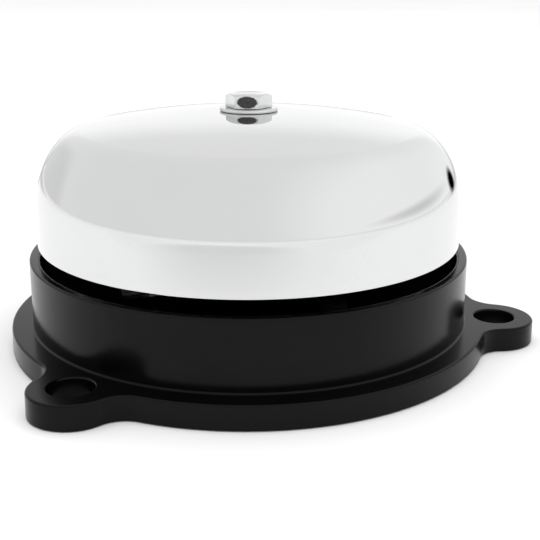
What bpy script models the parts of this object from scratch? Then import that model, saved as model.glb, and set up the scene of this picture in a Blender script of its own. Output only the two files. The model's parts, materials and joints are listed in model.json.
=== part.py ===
"""Electric gong bell: polished dome gong on a round moulded base with three fixing lugs.

Units are metres and +Z points from the wall towards the gong's crown. The origin is on the
bell's axis, in the flat underside of the base. The magnet and striker lie along -X, the
terminals along +X.
"""

import math

import bmesh
import bpy
from mathutils import Matrix, Vector

MM = 0.001
GAP = 0.3 * MM                     # air left between two touching pieces

# ---- driving dimensions -------------------------------------------------------------------

# Gong
GONG_RADIUS = 49.6 * MM
GONG_SHEET = 1.0 * MM
RIM_CLEARANCE = 2.9 * MM           # slot between the gong's rim and the wall's top
SKIRT_HEIGHT = 9.3 * MM            # straight part above the rim
SHOULDER_RADIUS = 19.8 * MM        # lower shoulder arc
SHOULDER_SWEEP = math.radians(46.0)
BROW_RADIUS = 9.7 * MM             # upper shoulder arc
CROWN_RADIUS = 200.0 * MM
CROWN_FLAT_RADIUS = 9.5 * MM

# Base housing
WALL_OUTSET = 2.2 * MM             # wall's outside beyond the gong's
WALL_THICKNESS = 2.7 * MM
WALL_TOP = 21.2 * MM
FLANGE_WIDTH = 4.95 * MM           # flange's edge beyond the wall
FLANGE_THICKNESS = 5.5 * MM
LUG_COUNT = 3
LUG_OUTSET = 2.45 * MM             # lug hole's centre beyond the flange's edge
LUG_END_RADIUS = 9.2 * MM
LUG_HOLE_RADIUS = 4.75 * MM
LUG_FILLET_RADIUS = 6.5 * MM
FLOOR_THICKNESS = 3.0 * MM
BOSS_HEIGHT = 3.0 * MM
BOSS_WALL = 2.2 * MM

# Gong fixing
BOLT_RADIUS = 3.0 * MM
BOLT_LENGTH = 15.0 * MM
HEAD_ACROSS_FLATS = 9.5 * MM
HEAD_HEIGHT = 2.7 * MM
HEAD_CROWN_INSET = 0.3 * MM        # flat of the head inside its across-flats circle
HEAD_CHAMFER = math.radians(30.0)
HEAD_TURN = math.radians(2.0)
WASHER_RADIUS = 6.8 * MM
WASHER_THICKNESS = 0.75 * MM
WASHER_EDGE = 0.2 * MM
SEAT_RADIUS = 8.5 * MM
SEAT_THICKNESS = 1.0 * MM
POST_RADIUS = 5.0 * MM
POST_BORE_SPARE = 1.0 * MM         # bore left under the bolt's tip
SPIGOT_RADIUS = 3.0 * MM
RIVET_RADIUS = 4.5 * MM
RIVET_THICKNESS = 1.4 * MM

# Chassis
SHEET = 1.5 * MM
CHASSIS_CORNER = 5.0 * MM
CHASSIS_ROOM = 3.8 * MM            # from the plate's round corners to the wall
CHASSIS_EDGE = 4.0 * MM            # from a fixing screw's centre to the plate's edge
EAR_MARGIN = 2.2 * MM              # from an ear's outside to the plate's edge
EAR_LENGTH = 6.0 * MM
SCREW_RADIUS = 1.5 * MM
SCREW_HEAD_RADIUS = 2.8 * MM
SCREW_HEAD_HEIGHT = 1.8 * MM
SCREW_SLOT = 0.8 * MM
CHASSIS_SCREW_HOLD = 3.0 * MM      # thread below the bosses' tops
EARTH_WASHER_RADIUS = 4.0 * MM
EARTH_WASHER_THICKNESS = 0.8 * MM
EARTH_SCREW_SPARE = 1.5 * MM       # thread below the plate

# Magnet
POLE_SIZE = 7.0 * MM
POLE_LEVER = 8.0 * MM              # pole axis above the pivot
POLE_PROUD = 1.5 * MM              # pole beyond its bobbin
AIR_GAP_MARGIN = 0.35 * MM
YOKE_THICKNESS = 6.0 * MM
YOKE_MARGIN = 1.0 * MM             # yoke beyond the poles, above and at each side
BOBBIN_FLANGE = 1.2 * MM
BOBBIN_LIP = 0.9 * MM              # bobbin's flange beyond the wrap
BOBBIN_WALL = 0.3 * MM             # over the square bore's corners
WINDING_DEPTH = 0.93 * MM
WRAP_THICKNESS = 0.4 * MM
COIL_SPACE = 1.0 * MM              # between the two bobbins

# Armature, pivot and striker
PIVOT_ROOM = 6.6 * MM              # pivot's axis to the post's side
PIN_RADIUS = 1.0 * MM
PIN_HEAD_OVERHANG = 0.8 * MM
PIN_HEAD_THICKNESS = 1.0 * MM
PIN_TAIL = 1.6 * MM                # pin beyond the ear on the clip's side
CLIP_WIDTH = 1.1 * MM
CLIP_THICKNESS = 0.8 * MM
KNUCKLE_WALL = 1.1 * MM
ARMATURE_THICKNESS = 2.0 * MM
ARMATURE_MARGIN = 0.5 * MM         # armature beyond the poles, at each side
ARMATURE_HEIGHT = 16.5 * MM        # wide part, above the pivot
ARMATURE_PLAY = 1.3 * MM           # armature's side to an ear
NECK_THICKNESS = 1.8 * MM
NECK_INSET = 0.5 * MM              # neck inside the knuckle's ends
NECK_LAP = 1.0 * MM                # neck up over the wide part
TONGUE_WIDTH = 9.0 * MM
STRIKE_ANGLE = math.radians(5.0)
STRIKE_CLEARANCE = 0.5 * MM        # striker to gong when the magnet holds the armature
STRIKER_LEVER = 23.5 * MM          # striker axis above the pivot
STRIKER_RADIUS = 3.5 * MM
STRIKER_LENGTH = 8.0 * MM
STRIKER_NOSE = 2.5 * MM            # solid brass in front of the rod
STRIKER_CROWN = 0.6 * MM
ROD_RADIUS = 1.25 * MM
ROD_SPARE = 0.6 * MM               # rod beyond its back nut
ROD_NUT_FLATS = 5.0 * MM
ROD_NUT_THICKNESS = 2.0 * MM

# Return spring
SPRING_WIRE_RADIUS = 0.3 * MM
SPRING_TURNS = 3.75
SPRING_PITCH_GAP = 0.15 * MM
SPRING_PLAY = 1.9 * MM             # knuckle to ear, beyond the spring's own length
SPRING_PIN_ROOM = 0.2 * MM
SPRING_FOOT = 7.0 * MM             # lower leg, ahead of the pivot

# Rest stop
STOP_OFFSET = 5.0 * MM             # screw's axis beyond the post's side
STOP_BELOW_TOP = 3.5 * MM          # screw's axis under the armature's wide top
STOP_TAB_ROOM = 3.0 * MM           # tab beyond the post
STOP_TAB_WIDTH = 9.0 * MM
STOP_PAD_RADIUS = 2.4 * MM
STOP_PAD_THICKNESS = 1.6 * MM
STOP_NUT_FLATS = 5.5 * MM
STOP_NUT_THICKNESS = 2.4 * MM
STOP_SCREW_SPARE = 2.0 * MM        # shank between the nut and the head

# Terminals
BLOCK_LENGTH = 13.0 * MM
BLOCK_GAP = 1.65 * MM              # block to the earth washer
BLOCK_FLOOR = 1.2 * MM
BLOCK_ROOF = 1.7 * MM
BLOCK_WEB = 1.6 * MM               # plastic between a barrel's pocket and the fixing screw
BLOCK_SIDE = 2.2 * MM
BLOCK_SCREW_SINK = 2.5 * MM
BLOCK_SCREW_LENGTH = 9.0 * MM
BARREL_SIZE = 5.0 * MM
BARREL_INSET = 1.5 * MM            # barrel's end inside the block's end
WIRE_HOLE_RADIUS = 1.5 * MM
LEAD_RADIUS = 0.8 * MM
LEAD_ROOM = 2.0 * MM               # lead to the pivot pin's ear
LEAD_ENTRY = 0.6 * MM              # lead's end inside the block

# Cover over the chassis
COVER_THICKNESS = 1.5 * MM
COVER_DEPTH = 2.5 * MM             # cover's top below the wall's top
COVER_GAP = 0.6 * MM               # round the cover's edge
COVER_SCREW_INSET = 5.6 * MM       # screw's axis inside the wall
COVER_SCREW_LENGTH = 6.5 * MM
COVER_SCREW_ANGLES = (math.radians(45.0), math.radians(135.0), math.radians(270.0))
WINDOW_MARGIN = 0.9 * MM           # round the magnet and the terminals
PILLAR_BORE_SPARE = 1.5 * MM       # bore left under a cover screw's tip

# Cable inlet
INLET_ANGLE = math.radians(-76.0)
INLET_WALL_GAP = 7.6 * MM          # grommet's recess to the wall
INLET_BORE = 3.5 * MM
GROMMET_WALL = 1.7 * MM
GROMMET_LIP = 2.3 * MM
GROMMET_PROUD = 1.4 * MM           # above the floor
GROMMET_SINK = 0.2 * MM            # inside the underside

# ---- derived places -----------------------------------------------------------------------

WALL_RADIUS = GONG_RADIUS + WALL_OUTSET
WALL_INSIDE = WALL_RADIUS - WALL_THICKNESS
FLANGE_RADIUS = WALL_RADIUS + FLANGE_WIDTH
LUG_PITCH_RADIUS = FLANGE_RADIUS + LUG_OUTSET
KNUCKLE_RADIUS = PIN_RADIUS + GAP + KNUCKLE_WALL
PIN_HEAD_RADIUS = PIN_RADIUS + PIN_HEAD_OVERHANG
CLIP_RADIUS = PIN_RADIUS + GAP + CLIP_WIDTH

# Levels
BOSS_TOP = FLOOR_THICKNESS + BOSS_HEIGHT
CHASSIS_Z = BOSS_TOP + GAP
DECK = CHASSIS_Z + SHEET
PIVOT_Z = DECK + GAP + KNUCKLE_RADIUS
RIM_Z = WALL_TOP + RIM_CLEARANCE
STRIKER_Z = PIVOT_Z + STRIKER_LEVER
COVER_TOP = WALL_TOP - COVER_DEPTH
COVER_LOW = COVER_TOP - COVER_THICKNESS
POLE_Z = PIVOT_Z + POLE_LEVER
STOP_Z = PIVOT_Z + ARMATURE_HEIGHT - STOP_BELOW_TOP

# Sideways sizes, from the bobbins out to the ears and the leads
POLE_BORE = POLE_SIZE / 2 + GAP
BOBBIN_BARREL = POLE_BORE * math.sqrt(2) + BOBBIN_WALL
COIL_RADIUS = BOBBIN_BARREL + GAP + WINDING_DEPTH + GAP + WRAP_THICKNESS
BOBBIN_RADIUS = COIL_RADIUS + BOBBIN_LIP
POLE_SPACING = 2 * BOBBIN_RADIUS + COIL_SPACE
ARMATURE_WIDTH = POLE_SPACING + POLE_SIZE + 2 * ARMATURE_MARGIN
EAR_INSIDE = ARMATURE_WIDTH / 2 + ARMATURE_PLAY
EAR_Y = EAR_INSIDE + SHEET / 2
PIN_END = EAR_INSIDE + SHEET + GAP
LEAD_LANE = PIN_END + LEAD_ROOM + LEAD_RADIUS
LEAD_COIL_SIDE = POLE_SPACING / 2 + COIL_RADIUS + GAP + LEAD_RADIUS
CHASSIS_WIDTH = 2 * (EAR_INSIDE + SHEET + EAR_MARGIN)
SPRING_RADIUS = PIN_RADIUS + GAP + SPRING_WIRE_RADIUS + SPRING_PIN_ROOM
SPRING_PITCH = 2 * SPRING_WIRE_RADIUS + SPRING_PITCH_GAP
SPRING_LENGTH = SPRING_TURNS * SPRING_PITCH + 2 * SPRING_WIRE_RADIUS
KNUCKLE_HALF = EAR_INSIDE - SPRING_LENGTH - SPRING_PLAY

# Places along X, from the wall in and from the post out; the coils fill what is left
CHASSIS_CORNER_REACH = WALL_INSIDE - CHASSIS_ROOM - CHASSIS_CORNER
CHASSIS_LENGTH = 2 * (CHASSIS_CORNER + math.sqrt(
    CHASSIS_CORNER_REACH ** 2 - (CHASSIS_WIDTH / 2 - CHASSIS_CORNER) ** 2))
CHASSIS_SCREW_X = CHASSIS_LENGTH / 2 - CHASSIS_EDGE
CHASSIS_SCREW_Y = CHASSIS_WIDTH / 2 - CHASSIS_EDGE
YOKE_BACK = SCREW_HEAD_RADIUS + 2 * GAP - CHASSIS_SCREW_X
YOKE_FRONT = YOKE_BACK + YOKE_THICKNESS
COIL_START = YOKE_FRONT + GAP
PIVOT_X = -POST_RADIUS - PIVOT_ROOM
ARMATURE_FRONT = PIVOT_X - ARMATURE_THICKNESS / 2
ARMATURE_BACK = PIVOT_X + ARMATURE_THICKNESS / 2
POLE_FACE = ARMATURE_FRONT - (POLE_LEVER + POLE_SIZE / 2) * math.sin(STRIKE_ANGLE) - AIR_GAP_MARGIN
COIL_END = POLE_FACE - POLE_PROUD
COIL_LENGTH = COIL_END - COIL_START
STOP_Y = -POST_RADIUS - STOP_OFFSET
STOP_TAB_X = POST_RADIUS + STOP_TAB_ROOM
BLOCK_X = CHASSIS_SCREW_X - EARTH_WASHER_RADIUS - BLOCK_GAP - BLOCK_LENGTH / 2

# Terminal block
BLOCK_LOW = DECK + GAP
BARREL_POCKET = BARREL_SIZE + 2 * GAP
BARREL_Z = BLOCK_LOW + BLOCK_FLOOR + BARREL_POCKET / 2
BLOCK_TOP = BARREL_Z + BARREL_POCKET / 2 + BLOCK_ROOF
TERMINAL_Y = SCREW_HEAD_RADIUS + GAP + BLOCK_WEB + BARREL_POCKET / 2
BLOCK_WIDTH = 2 * (TERMINAL_Y + BARREL_POCKET / 2 + BLOCK_SIDE)

# Cover and inlet
COVER_SCREW_RADIUS = WALL_INSIDE - COVER_SCREW_INSET
GROMMET_NECK = INLET_BORE + GROMMET_WALL
INLET_RECESS = GROMMET_NECK + GAP + GROMMET_LIP
INLET_RADIUS = WALL_INSIDE - INLET_WALL_GAP - INLET_RECESS
INLET_PLACE = (INLET_RADIUS * math.cos(INLET_ANGLE), INLET_RADIUS * math.sin(INLET_ANGLE))

CAST = bpy.data.collections.new("gong_bell")
TOOLS = bpy.data.collections.new("cutters")


# ---- materials ----------------------------------------------------------------------------

def new_material(name, colour, roughness, metallic=0.0):
    """A Principled material with one colour."""
    material = bpy.data.materials.new(name)
    material.use_nodes = True
    shader = material.node_tree.nodes["Principled BSDF"]
    shader.inputs["Base Color"].default_value = (*colour, 1.0)
    shader.inputs["Roughness"].default_value = roughness
    shader.inputs["Metallic"].default_value = metallic
    return material


def make_materials():
    """Every finish of the bell, by name."""
    table = {
        "black_plastic": ((0.012, 0.012, 0.011), 0.3, 0.0),
        "cover_board": ((0.018, 0.017, 0.016), 0.85, 0.0),
        "chrome": ((0.86, 0.87, 0.88), 0.06, 1.0),
        "zinc_steel": ((0.62, 0.62, 0.60), 0.3, 1.0),
        "black_oxide": ((0.03, 0.03, 0.03), 0.6, 0.9),
        "sheet_steel": ((0.45, 0.46, 0.47), 0.42, 1.0),
        "core_steel": ((0.24, 0.25, 0.27), 0.5, 1.0),
        "brass": ((0.72, 0.53, 0.24), 0.28, 1.0),
        "copper_wire": ((0.62, 0.25, 0.10), 0.35, 1.0),
        "nylon": ((0.82, 0.80, 0.72), 0.45, 0.0),
        "wrap_tape": ((0.55, 0.42, 0.10), 0.5, 0.0),
        "fibre": ((0.28, 0.10, 0.05), 0.7, 0.0),
        "rubber": ((0.03, 0.03, 0.03), 0.8, 0.0),
        "lead_insulation": ((0.45, 0.03, 0.02), 0.5, 0.0),
    }
    return {name: new_material(name, *values) for name, values in table.items()}


# ---- shape helpers ------------------------------------------------------------------------

def place(obj, material=None, tool=False):
    """Put an object in its collection, with its material."""
    for collection in list(obj.users_collection):
        collection.objects.unlink(obj)
    (TOOLS if tool else CAST).objects.link(obj)
    if material is not None:
        obj.data.materials.clear()
        obj.data.materials.append(material)
    if tool:
        obj.hide_render = True
        obj.display_type = "WIRE"
    return obj


def apply_scale(obj):
    """Bake the object's scale into its mesh."""
    obj.data.transform(Matrix.Diagonal((*obj.scale, 1.0)))
    obj.scale = (1.0, 1.0, 1.0)


def box(name, size, centre, material=None, tool=False):
    """A rectangular block."""
    bpy.ops.mesh.primitive_cube_add(size=1.0, location=centre)
    obj = bpy.context.active_object
    obj.name = name
    obj.scale = size
    apply_scale(obj)
    return place(obj, material, tool)


def cylinder(name, radius, length, centre, axis="Z", material=None, tool=False, sides=20, turn=0.0):
    """A round or many-sided bar centred on a point."""
    rotation = {"X": (0.0, math.pi / 2, 0.0), "Y": (math.pi / 2, 0.0, 0.0), "Z": (0.0, 0.0, turn)}[axis]
    bpy.ops.mesh.primitive_cylinder_add(
        vertices=sides, radius=radius, depth=length, location=centre, rotation=rotation)
    obj = bpy.context.active_object
    obj.name = name
    if sides > 6:
        obj.data.shade_smooth()
        obj.data.set_sharp_from_angle(angle=math.radians(35.0))
    return place(obj, material, tool)


def turned(name, profile, closed, material=None, tool=False, steps=28, centre=(0, 0, 0), axis="Z"):
    """A turned piece: (radius, height) points down the outer side, spun about the axis."""
    mesh = bpy.data.meshes.new(name)
    points = [(radius, 0.0, height) for radius, height in profile]
    edges = [(i, i + 1) for i in range(len(points) - 1)]
    if closed:
        edges.append((len(points) - 1, 0))
    mesh.from_pydata(points, edges, [])
    obj = bpy.data.objects.new(name, mesh)
    obj.location = centre
    if axis == "X":
        obj.rotation_euler = (0.0, math.pi / 2, 0.0)
    if axis == "Y":
        obj.rotation_euler = (-math.pi / 2, 0.0, 0.0)
    place(obj, material, tool)
    spin = obj.modifiers.new("spin", "SCREW")
    spin.steps = steps
    spin.render_steps = steps
    spin.use_merge_vertices = True
    spin.merge_threshold = 0.00001
    spin.use_smooth_shade = True
    return obj


def to_mesh(obj):
    """Turn a curve into a closed mesh object of the same name."""
    bpy.context.view_layer.update()
    evaluated = obj.evaluated_get(bpy.context.evaluated_depsgraph_get())
    mesh = bpy.data.meshes.new_from_object(evaluated)
    welded = bmesh.new()
    welded.from_mesh(mesh)
    bmesh.ops.remove_doubles(welded, verts=welded.verts, dist=0.000001)
    welded.to_mesh(mesh)
    welded.free()
    name = obj.name
    matrix = obj.matrix_world.copy()
    curve = obj.data
    bpy.data.objects.remove(obj)
    bpy.data.curves.remove(curve)
    made = bpy.data.objects.new(name, mesh)
    made.matrix_world = matrix
    return made


def flat_plate(name, outline, low, thickness, material=None, tool=False, upright=False):
    """A flat outline given a thickness: from z = low up, or from x = low along +X if upright."""
    curve = bpy.data.curves.new(name, "CURVE")
    curve.dimensions = "2D"
    curve.fill_mode = "BOTH"
    curve.extrude = thickness / 2
    spline = curve.splines.new("POLY")
    spline.points.add(len(outline) - 1)
    for point, (across, along) in zip(spline.points, outline):
        point.co = (across, along, 0.0, 1.0)
    spline.use_cyclic_u = True
    obj = bpy.data.objects.new(name, curve)
    CAST.objects.link(obj)
    middle = low + thickness / 2
    if upright:
        frame = Matrix(((0, 0, 1), (1, 0, 0), (0, 1, 0))).to_4x4()
        obj.matrix_world = Matrix.Translation((middle, 0.0, 0.0)) @ frame
    else:
        obj.location = (0.0, 0.0, middle)
    return place(to_mesh(obj), material, tool)


def tube(name, points, radius, material, resolution=2):
    """A round wire through a list of points."""
    curve = bpy.data.curves.new(name, "CURVE")
    curve.dimensions = "3D"
    curve.bevel_depth = radius
    curve.bevel_resolution = resolution
    curve.use_fill_caps = True
    spline = curve.splines.new("POLY")
    spline.points.add(len(points) - 1)
    for point, place_of in zip(spline.points, points):
        point.co = (*place_of, 1.0)
    obj = bpy.data.objects.new(name, curve)
    return place(obj, material)


def combine(obj, other, operation):
    """Add a Boolean modifier that joins, cuts or intersects with another object."""
    boolean = obj.modifiers.new(operation.lower(), "BOOLEAN")
    boolean.operation = operation
    boolean.solver = "EXACT"
    boolean.object = other
    return obj


def cut(obj, cutter):
    """Cut one object out of another."""
    return combine(obj, cutter, "DIFFERENCE")


def join(obj, other):
    """Add one object to another."""
    return combine(obj, other, "UNION")


def arc(centre, radius, start, end, count):
    """Points on an arc, both ends included."""
    step = (end - start) / (count - 1)
    return [(centre[0] + radius * math.cos(start + step * i),
             centre[1] + radius * math.sin(start + step * i)) for i in range(count)]


def rounded_rectangle(length, width, corner, count=5):
    """Outline of a rectangle with round corners, centred on the origin."""
    outline = []
    for index, (side_x, side_y) in enumerate(((1, 1), (-1, 1), (-1, -1), (1, -1))):
        centre = (side_x * (length / 2 - corner), side_y * (width / 2 - corner))
        outline += arc(centre, corner, index * math.pi / 2, (index + 1) * math.pi / 2, count)
    return outline


def hang_on(empty, objects):
    """Parent objects to an empty and leave them where they are."""
    bpy.context.view_layer.update()
    for obj in objects:
        obj.parent = empty
        obj.matrix_parent_inverse = empty.matrix_world.inverted()


# ---- base ---------------------------------------------------------------------------------

def lug_angles():
    """Directions of the fixing lugs, the first along +Y."""
    return [math.pi / 2 + 2 * math.pi * index / LUG_COUNT for index in range(LUG_COUNT)]


def flange_outline():
    """Flange edge: a circle that flows into each lug through two concave fillets."""
    reach = FLANGE_RADIUS + LUG_FILLET_RADIUS
    span = LUG_END_RADIUS + LUG_FILLET_RADIUS
    spread = math.acos((reach ** 2 + LUG_PITCH_RADIUS ** 2 - span ** 2) / (2 * reach * LUG_PITCH_RADIUS))
    outline = []
    for angle in lug_angles():
        lug = Vector((math.cos(angle), math.sin(angle))) * LUG_PITCH_RADIUS
        before = Vector((math.cos(angle - spread), math.sin(angle - spread))) * reach
        after = Vector((math.cos(angle + spread), math.sin(angle + spread))) * reach
        inward = math.atan2(*reversed(lug - before))
        outline += sweep(before, LUG_FILLET_RADIUS, angle - spread + math.pi, inward, -1, 5)
        leave = math.atan2(*reversed(after - lug))
        outline += sweep(lug, LUG_END_RADIUS, inward + math.pi, leave, 1, 13)[1:-1]
        outline += sweep(after, LUG_FILLET_RADIUS, leave + math.pi, angle + spread + math.pi, -1, 5)
        next_start = angle + 2 * math.pi / LUG_COUNT - spread
        outline += sweep((0.0, 0.0), FLANGE_RADIUS, angle + spread, next_start, 1, 12)[1:-1]
    return outline


def sweep(centre, radius, start, end, direction, count):
    """Arc from one angle to another, anticlockwise for +1 and clockwise for -1."""
    turn = (end - start) * direction % (2 * math.pi)
    return arc(centre, radius, start, start + direction * turn, count)


def chassis_screw_places():
    """Centres of the four chassis screws."""
    return [(x, y) for x in (-CHASSIS_SCREW_X, CHASSIS_SCREW_X) for y in (-CHASSIS_SCREW_Y, CHASSIS_SCREW_Y)]


def make_base(finish):
    """Moulded cup with its floor, flange, lugs and screw bosses."""
    base = flat_plate("base_housing", flange_outline(), 0.0, FLANGE_THICKNESS, finish["black_plastic"])
    middle = WALL_RADIUS - WALL_THICKNESS / 2
    cut(base, cylinder("flange_bore_cut", middle, 4 * FLANGE_THICKNESS, (0, 0, 0), tool=True, sides=60))
    cup = [(WALL_RADIUS, WALL_TOP), (WALL_RADIUS, 0.0), (0.0, 0.0), (0.0, FLOOR_THICKNESS),
           (WALL_INSIDE, FLOOR_THICKNESS), (WALL_INSIDE, WALL_TOP)]
    join(base, turned("cup_shape", cup, True, tool=True, steps=60))
    for angle in lug_angles():
        centre = (LUG_PITCH_RADIUS * math.cos(angle), LUG_PITCH_RADIUS * math.sin(angle), 0.0)
        cut(base, cylinder("lug_hole_cut", LUG_HOLE_RADIUS, 3 * FLANGE_THICKNESS, centre, tool=True))
    bore = SCREW_RADIUS + GAP
    low = FLOOR_THICKNESS / 2
    for x, y in chassis_screw_places():
        join(base, cylinder("boss_shape", bore + BOSS_WALL, BOSS_TOP - low,
                            (x, y, (BOSS_TOP + low) / 2), tool=True))
        cut(base, cylinder("boss_cut", bore, BOSS_HEIGHT * 2, (x, y, BOSS_TOP - BOSS_HEIGHT / 2),
                           tool=True, sides=16))
    pillar_top = COVER_LOW - GAP
    bore_depth = pillar_top - (COVER_TOP + GAP - COVER_SCREW_LENGTH) + PILLAR_BORE_SPARE
    for x, y in cover_screw_places():
        join(base, cylinder("pillar_shape", bore + BOSS_WALL, pillar_top - low,
                            (x, y, (pillar_top + low) / 2), tool=True, sides=16))
        cut(base, cylinder("pillar_cut", bore, 2 * bore_depth, (x, y, pillar_top), tool=True, sides=16))
    centre = (*INLET_PLACE, 0.0)
    cut(base, cylinder("inlet_cut", GROMMET_NECK + GAP, 3 * FLOOR_THICKNESS, centre, tool=True))
    cut(base, cylinder("inlet_recess_cut", INLET_RECESS, FLOOR_THICKNESS, centre, tool=True))
    return base


def cover_screw_places():
    """Centres of the screws that hold the cover."""
    return [(COVER_SCREW_RADIUS * math.cos(a), COVER_SCREW_RADIUS * math.sin(a)) for a in COVER_SCREW_ANGLES]


def make_cover(finish):
    """Black cover round the live parts, with a window over the magnet, armature and terminals."""
    cover = cylinder("mechanism_cover", WALL_INSIDE - COVER_GAP, COVER_THICKNESS,
                     (0, 0, COVER_LOW + COVER_THICKNESS / 2), material=finish["cover_board"], sides=60)
    back = YOKE_BACK - WINDOW_MARGIN
    front = BLOCK_X + BLOCK_LENGTH / 2 + WINDOW_MARGIN
    half_width = max(LEAD_LANE, LEAD_COIL_SIDE) + LEAD_RADIUS + GAP
    cut(cover, box("window_cut", (front - back, 2 * half_width, 9 * COVER_THICKNESS),
                   ((front + back) / 2, 0.0, COVER_TOP), tool=True))
    for index, (x, y) in enumerate(cover_screw_places(), 1):
        cut(cover, cylinder("cover_screw_cut", SCREW_RADIUS + GAP, 9 * COVER_THICKNESS, (x, y, COVER_TOP),
                            tool=True, sides=16))
        screw(f"cover_screw_{index}", (x, y), COVER_TOP + GAP, COVER_SCREW_LENGTH, finish["black_oxide"])


def make_grommet(finish):
    """Rubber cable grommet clipped into the floor, flush with the underside."""
    lip = INLET_RECESS - GAP
    top = FLOOR_THICKNESS + GAP + GROMMET_PROUD
    edge = GROMMET_PROUD / 2
    above, below = FLOOR_THICKNESS + GAP, FLOOR_THICKNESS / 2 - GAP
    profile = [(INLET_BORE, top), (lip - edge, top), (lip, top - edge), (lip, above), (GROMMET_NECK, above),
               (GROMMET_NECK, below), (lip, below), (lip, GROMMET_SINK), (INLET_BORE, GROMMET_SINK)]
    turned("cable_grommet", profile, True, finish["rubber"], centre=(*INLET_PLACE, 0.0), steps=28)


# ---- gong ---------------------------------------------------------------------------------

def shoulder_centre():
    """Centre of the gong's lower shoulder arc, as radius and height."""
    return (GONG_RADIUS - SHOULDER_RADIUS, RIM_Z + SKIRT_HEIGHT)


def gong_inside(height):
    """Radius of the gong's inner face at a height on its skirt or lower shoulder."""
    across, level = shoulder_centre()
    above = max(height - level, 0.0)
    return across + math.sqrt((SHOULDER_RADIUS - GONG_SHEET) ** 2 - above ** 2)


def dome_curve(offset):
    """Points of the gong's section from the crown down to the rim, moved in by an offset."""
    shoulder = shoulder_centre()
    join_length = SHOULDER_RADIUS - BROW_RADIUS
    brow = (shoulder[0] + join_length * math.cos(SHOULDER_SWEEP),
            shoulder[1] + join_length * math.sin(SHOULDER_SWEEP))
    crown_centre = brow[1] - math.sqrt((CROWN_RADIUS - BROW_RADIUS) ** 2 - brow[0] ** 2)
    meeting = math.atan2(brow[1] - crown_centre, brow[0])
    flat = math.acos(CROWN_FLAT_RADIUS / CROWN_RADIUS)
    points = arc((0.0, crown_centre), CROWN_RADIUS - offset, flat, meeting, 4)
    points += arc(brow, BROW_RADIUS - offset, meeting, SHOULDER_SWEEP, 5)[1:]
    points += arc(shoulder, SHOULDER_RADIUS - offset, SHOULDER_SWEEP, 0.0, 6)[1:]
    return points


def crown_height():
    """Height of the gong's flat crown, outside."""
    return dome_curve(0.0)[0][1]


def make_gong(finish):
    """Spun sheet gong with a central bolt hole."""
    hole = BOLT_RADIUS + GAP
    outer = [(hole, crown_height())] + dome_curve(0.0) + [(GONG_RADIUS, RIM_Z)]
    inner = [(hole, dome_curve(GONG_SHEET)[0][1])] + dome_curve(GONG_SHEET)
    inner.append((GONG_RADIUS - GONG_SHEET, RIM_Z))
    turned("gong", outer + inner[::-1], True, finish["chrome"], steps=60)


def make_gong_fixing(finish):
    """Bolt, washer, fibre seat and the post that carries the gong."""
    top = crown_height()
    washer_low = top + GAP
    washer_top = washer_low + WASHER_THICKNESS
    hole = BOLT_RADIUS + GAP
    flat = WASHER_RADIUS - WASHER_EDGE
    rim = [(hole, washer_top), (flat, washer_top), (WASHER_RADIUS, washer_top - WASHER_EDGE),
           (WASHER_RADIUS, washer_low + WASHER_EDGE), (flat, washer_low), (hole, washer_low)]
    turned("gong_washer", rim, True, finish["zinc_steel"], steps=40)

    head_low = washer_top + GAP
    head_top = head_low + HEAD_HEIGHT
    corner = HEAD_ACROSS_FLATS / math.sqrt(3)
    bolt = cylinder("gong_bolt", corner, HEAD_HEIGHT, (0, 0, head_low + HEAD_HEIGHT / 2),
                    material=finish["zinc_steel"], sides=6, turn=HEAD_TURN)
    crown = HEAD_ACROSS_FLATS / 2 - HEAD_CROWN_INSET
    outside = corner + GAP
    drop = (outside - crown) * math.tan(HEAD_CHAMFER)
    dome = [(0.0, head_top), (crown, head_top), (outside, head_top - drop),
            (outside, head_low - GAP), (0.0, head_low - GAP)]
    combine(bolt, turned("head_shape", dome, False, tool=True, steps=36), "INTERSECT")
    shank_top = head_low + HEAD_HEIGHT / 2
    shank_low = head_low - BOLT_LENGTH
    join(bolt, cylinder("shank_shape", BOLT_RADIUS, shank_top - shank_low,
                        (0, 0, (shank_top + shank_low) / 2), tool=True))

    seat_top = top - GONG_SHEET - GAP
    seat_low = seat_top - SEAT_THICKNESS
    seat = [(hole, seat_top), (SEAT_RADIUS, seat_top), (SEAT_RADIUS, seat_low), (hole, seat_low)]
    turned("gong_seat_washer", seat, True, finish["fibre"], steps=32)

    post_top = seat_low - GAP
    bore_low = shank_low - POST_BORE_SPARE
    rivet_top = CHASSIS_Z - GAP
    rivet_low = rivet_top - RIVET_THICKNESS
    post = [(0.0, bore_low), (hole, bore_low), (hole, post_top), (POST_RADIUS, post_top),
            (POST_RADIUS, DECK + GAP), (SPIGOT_RADIUS, DECK + GAP), (SPIGOT_RADIUS, rivet_top),
            (RIVET_RADIUS, rivet_top), (RIVET_RADIUS, rivet_low), (0.0, rivet_low)]
    turned("centre_post", post, False, finish["zinc_steel"], steps=28)


# ---- chassis ------------------------------------------------------------------------------

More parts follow.
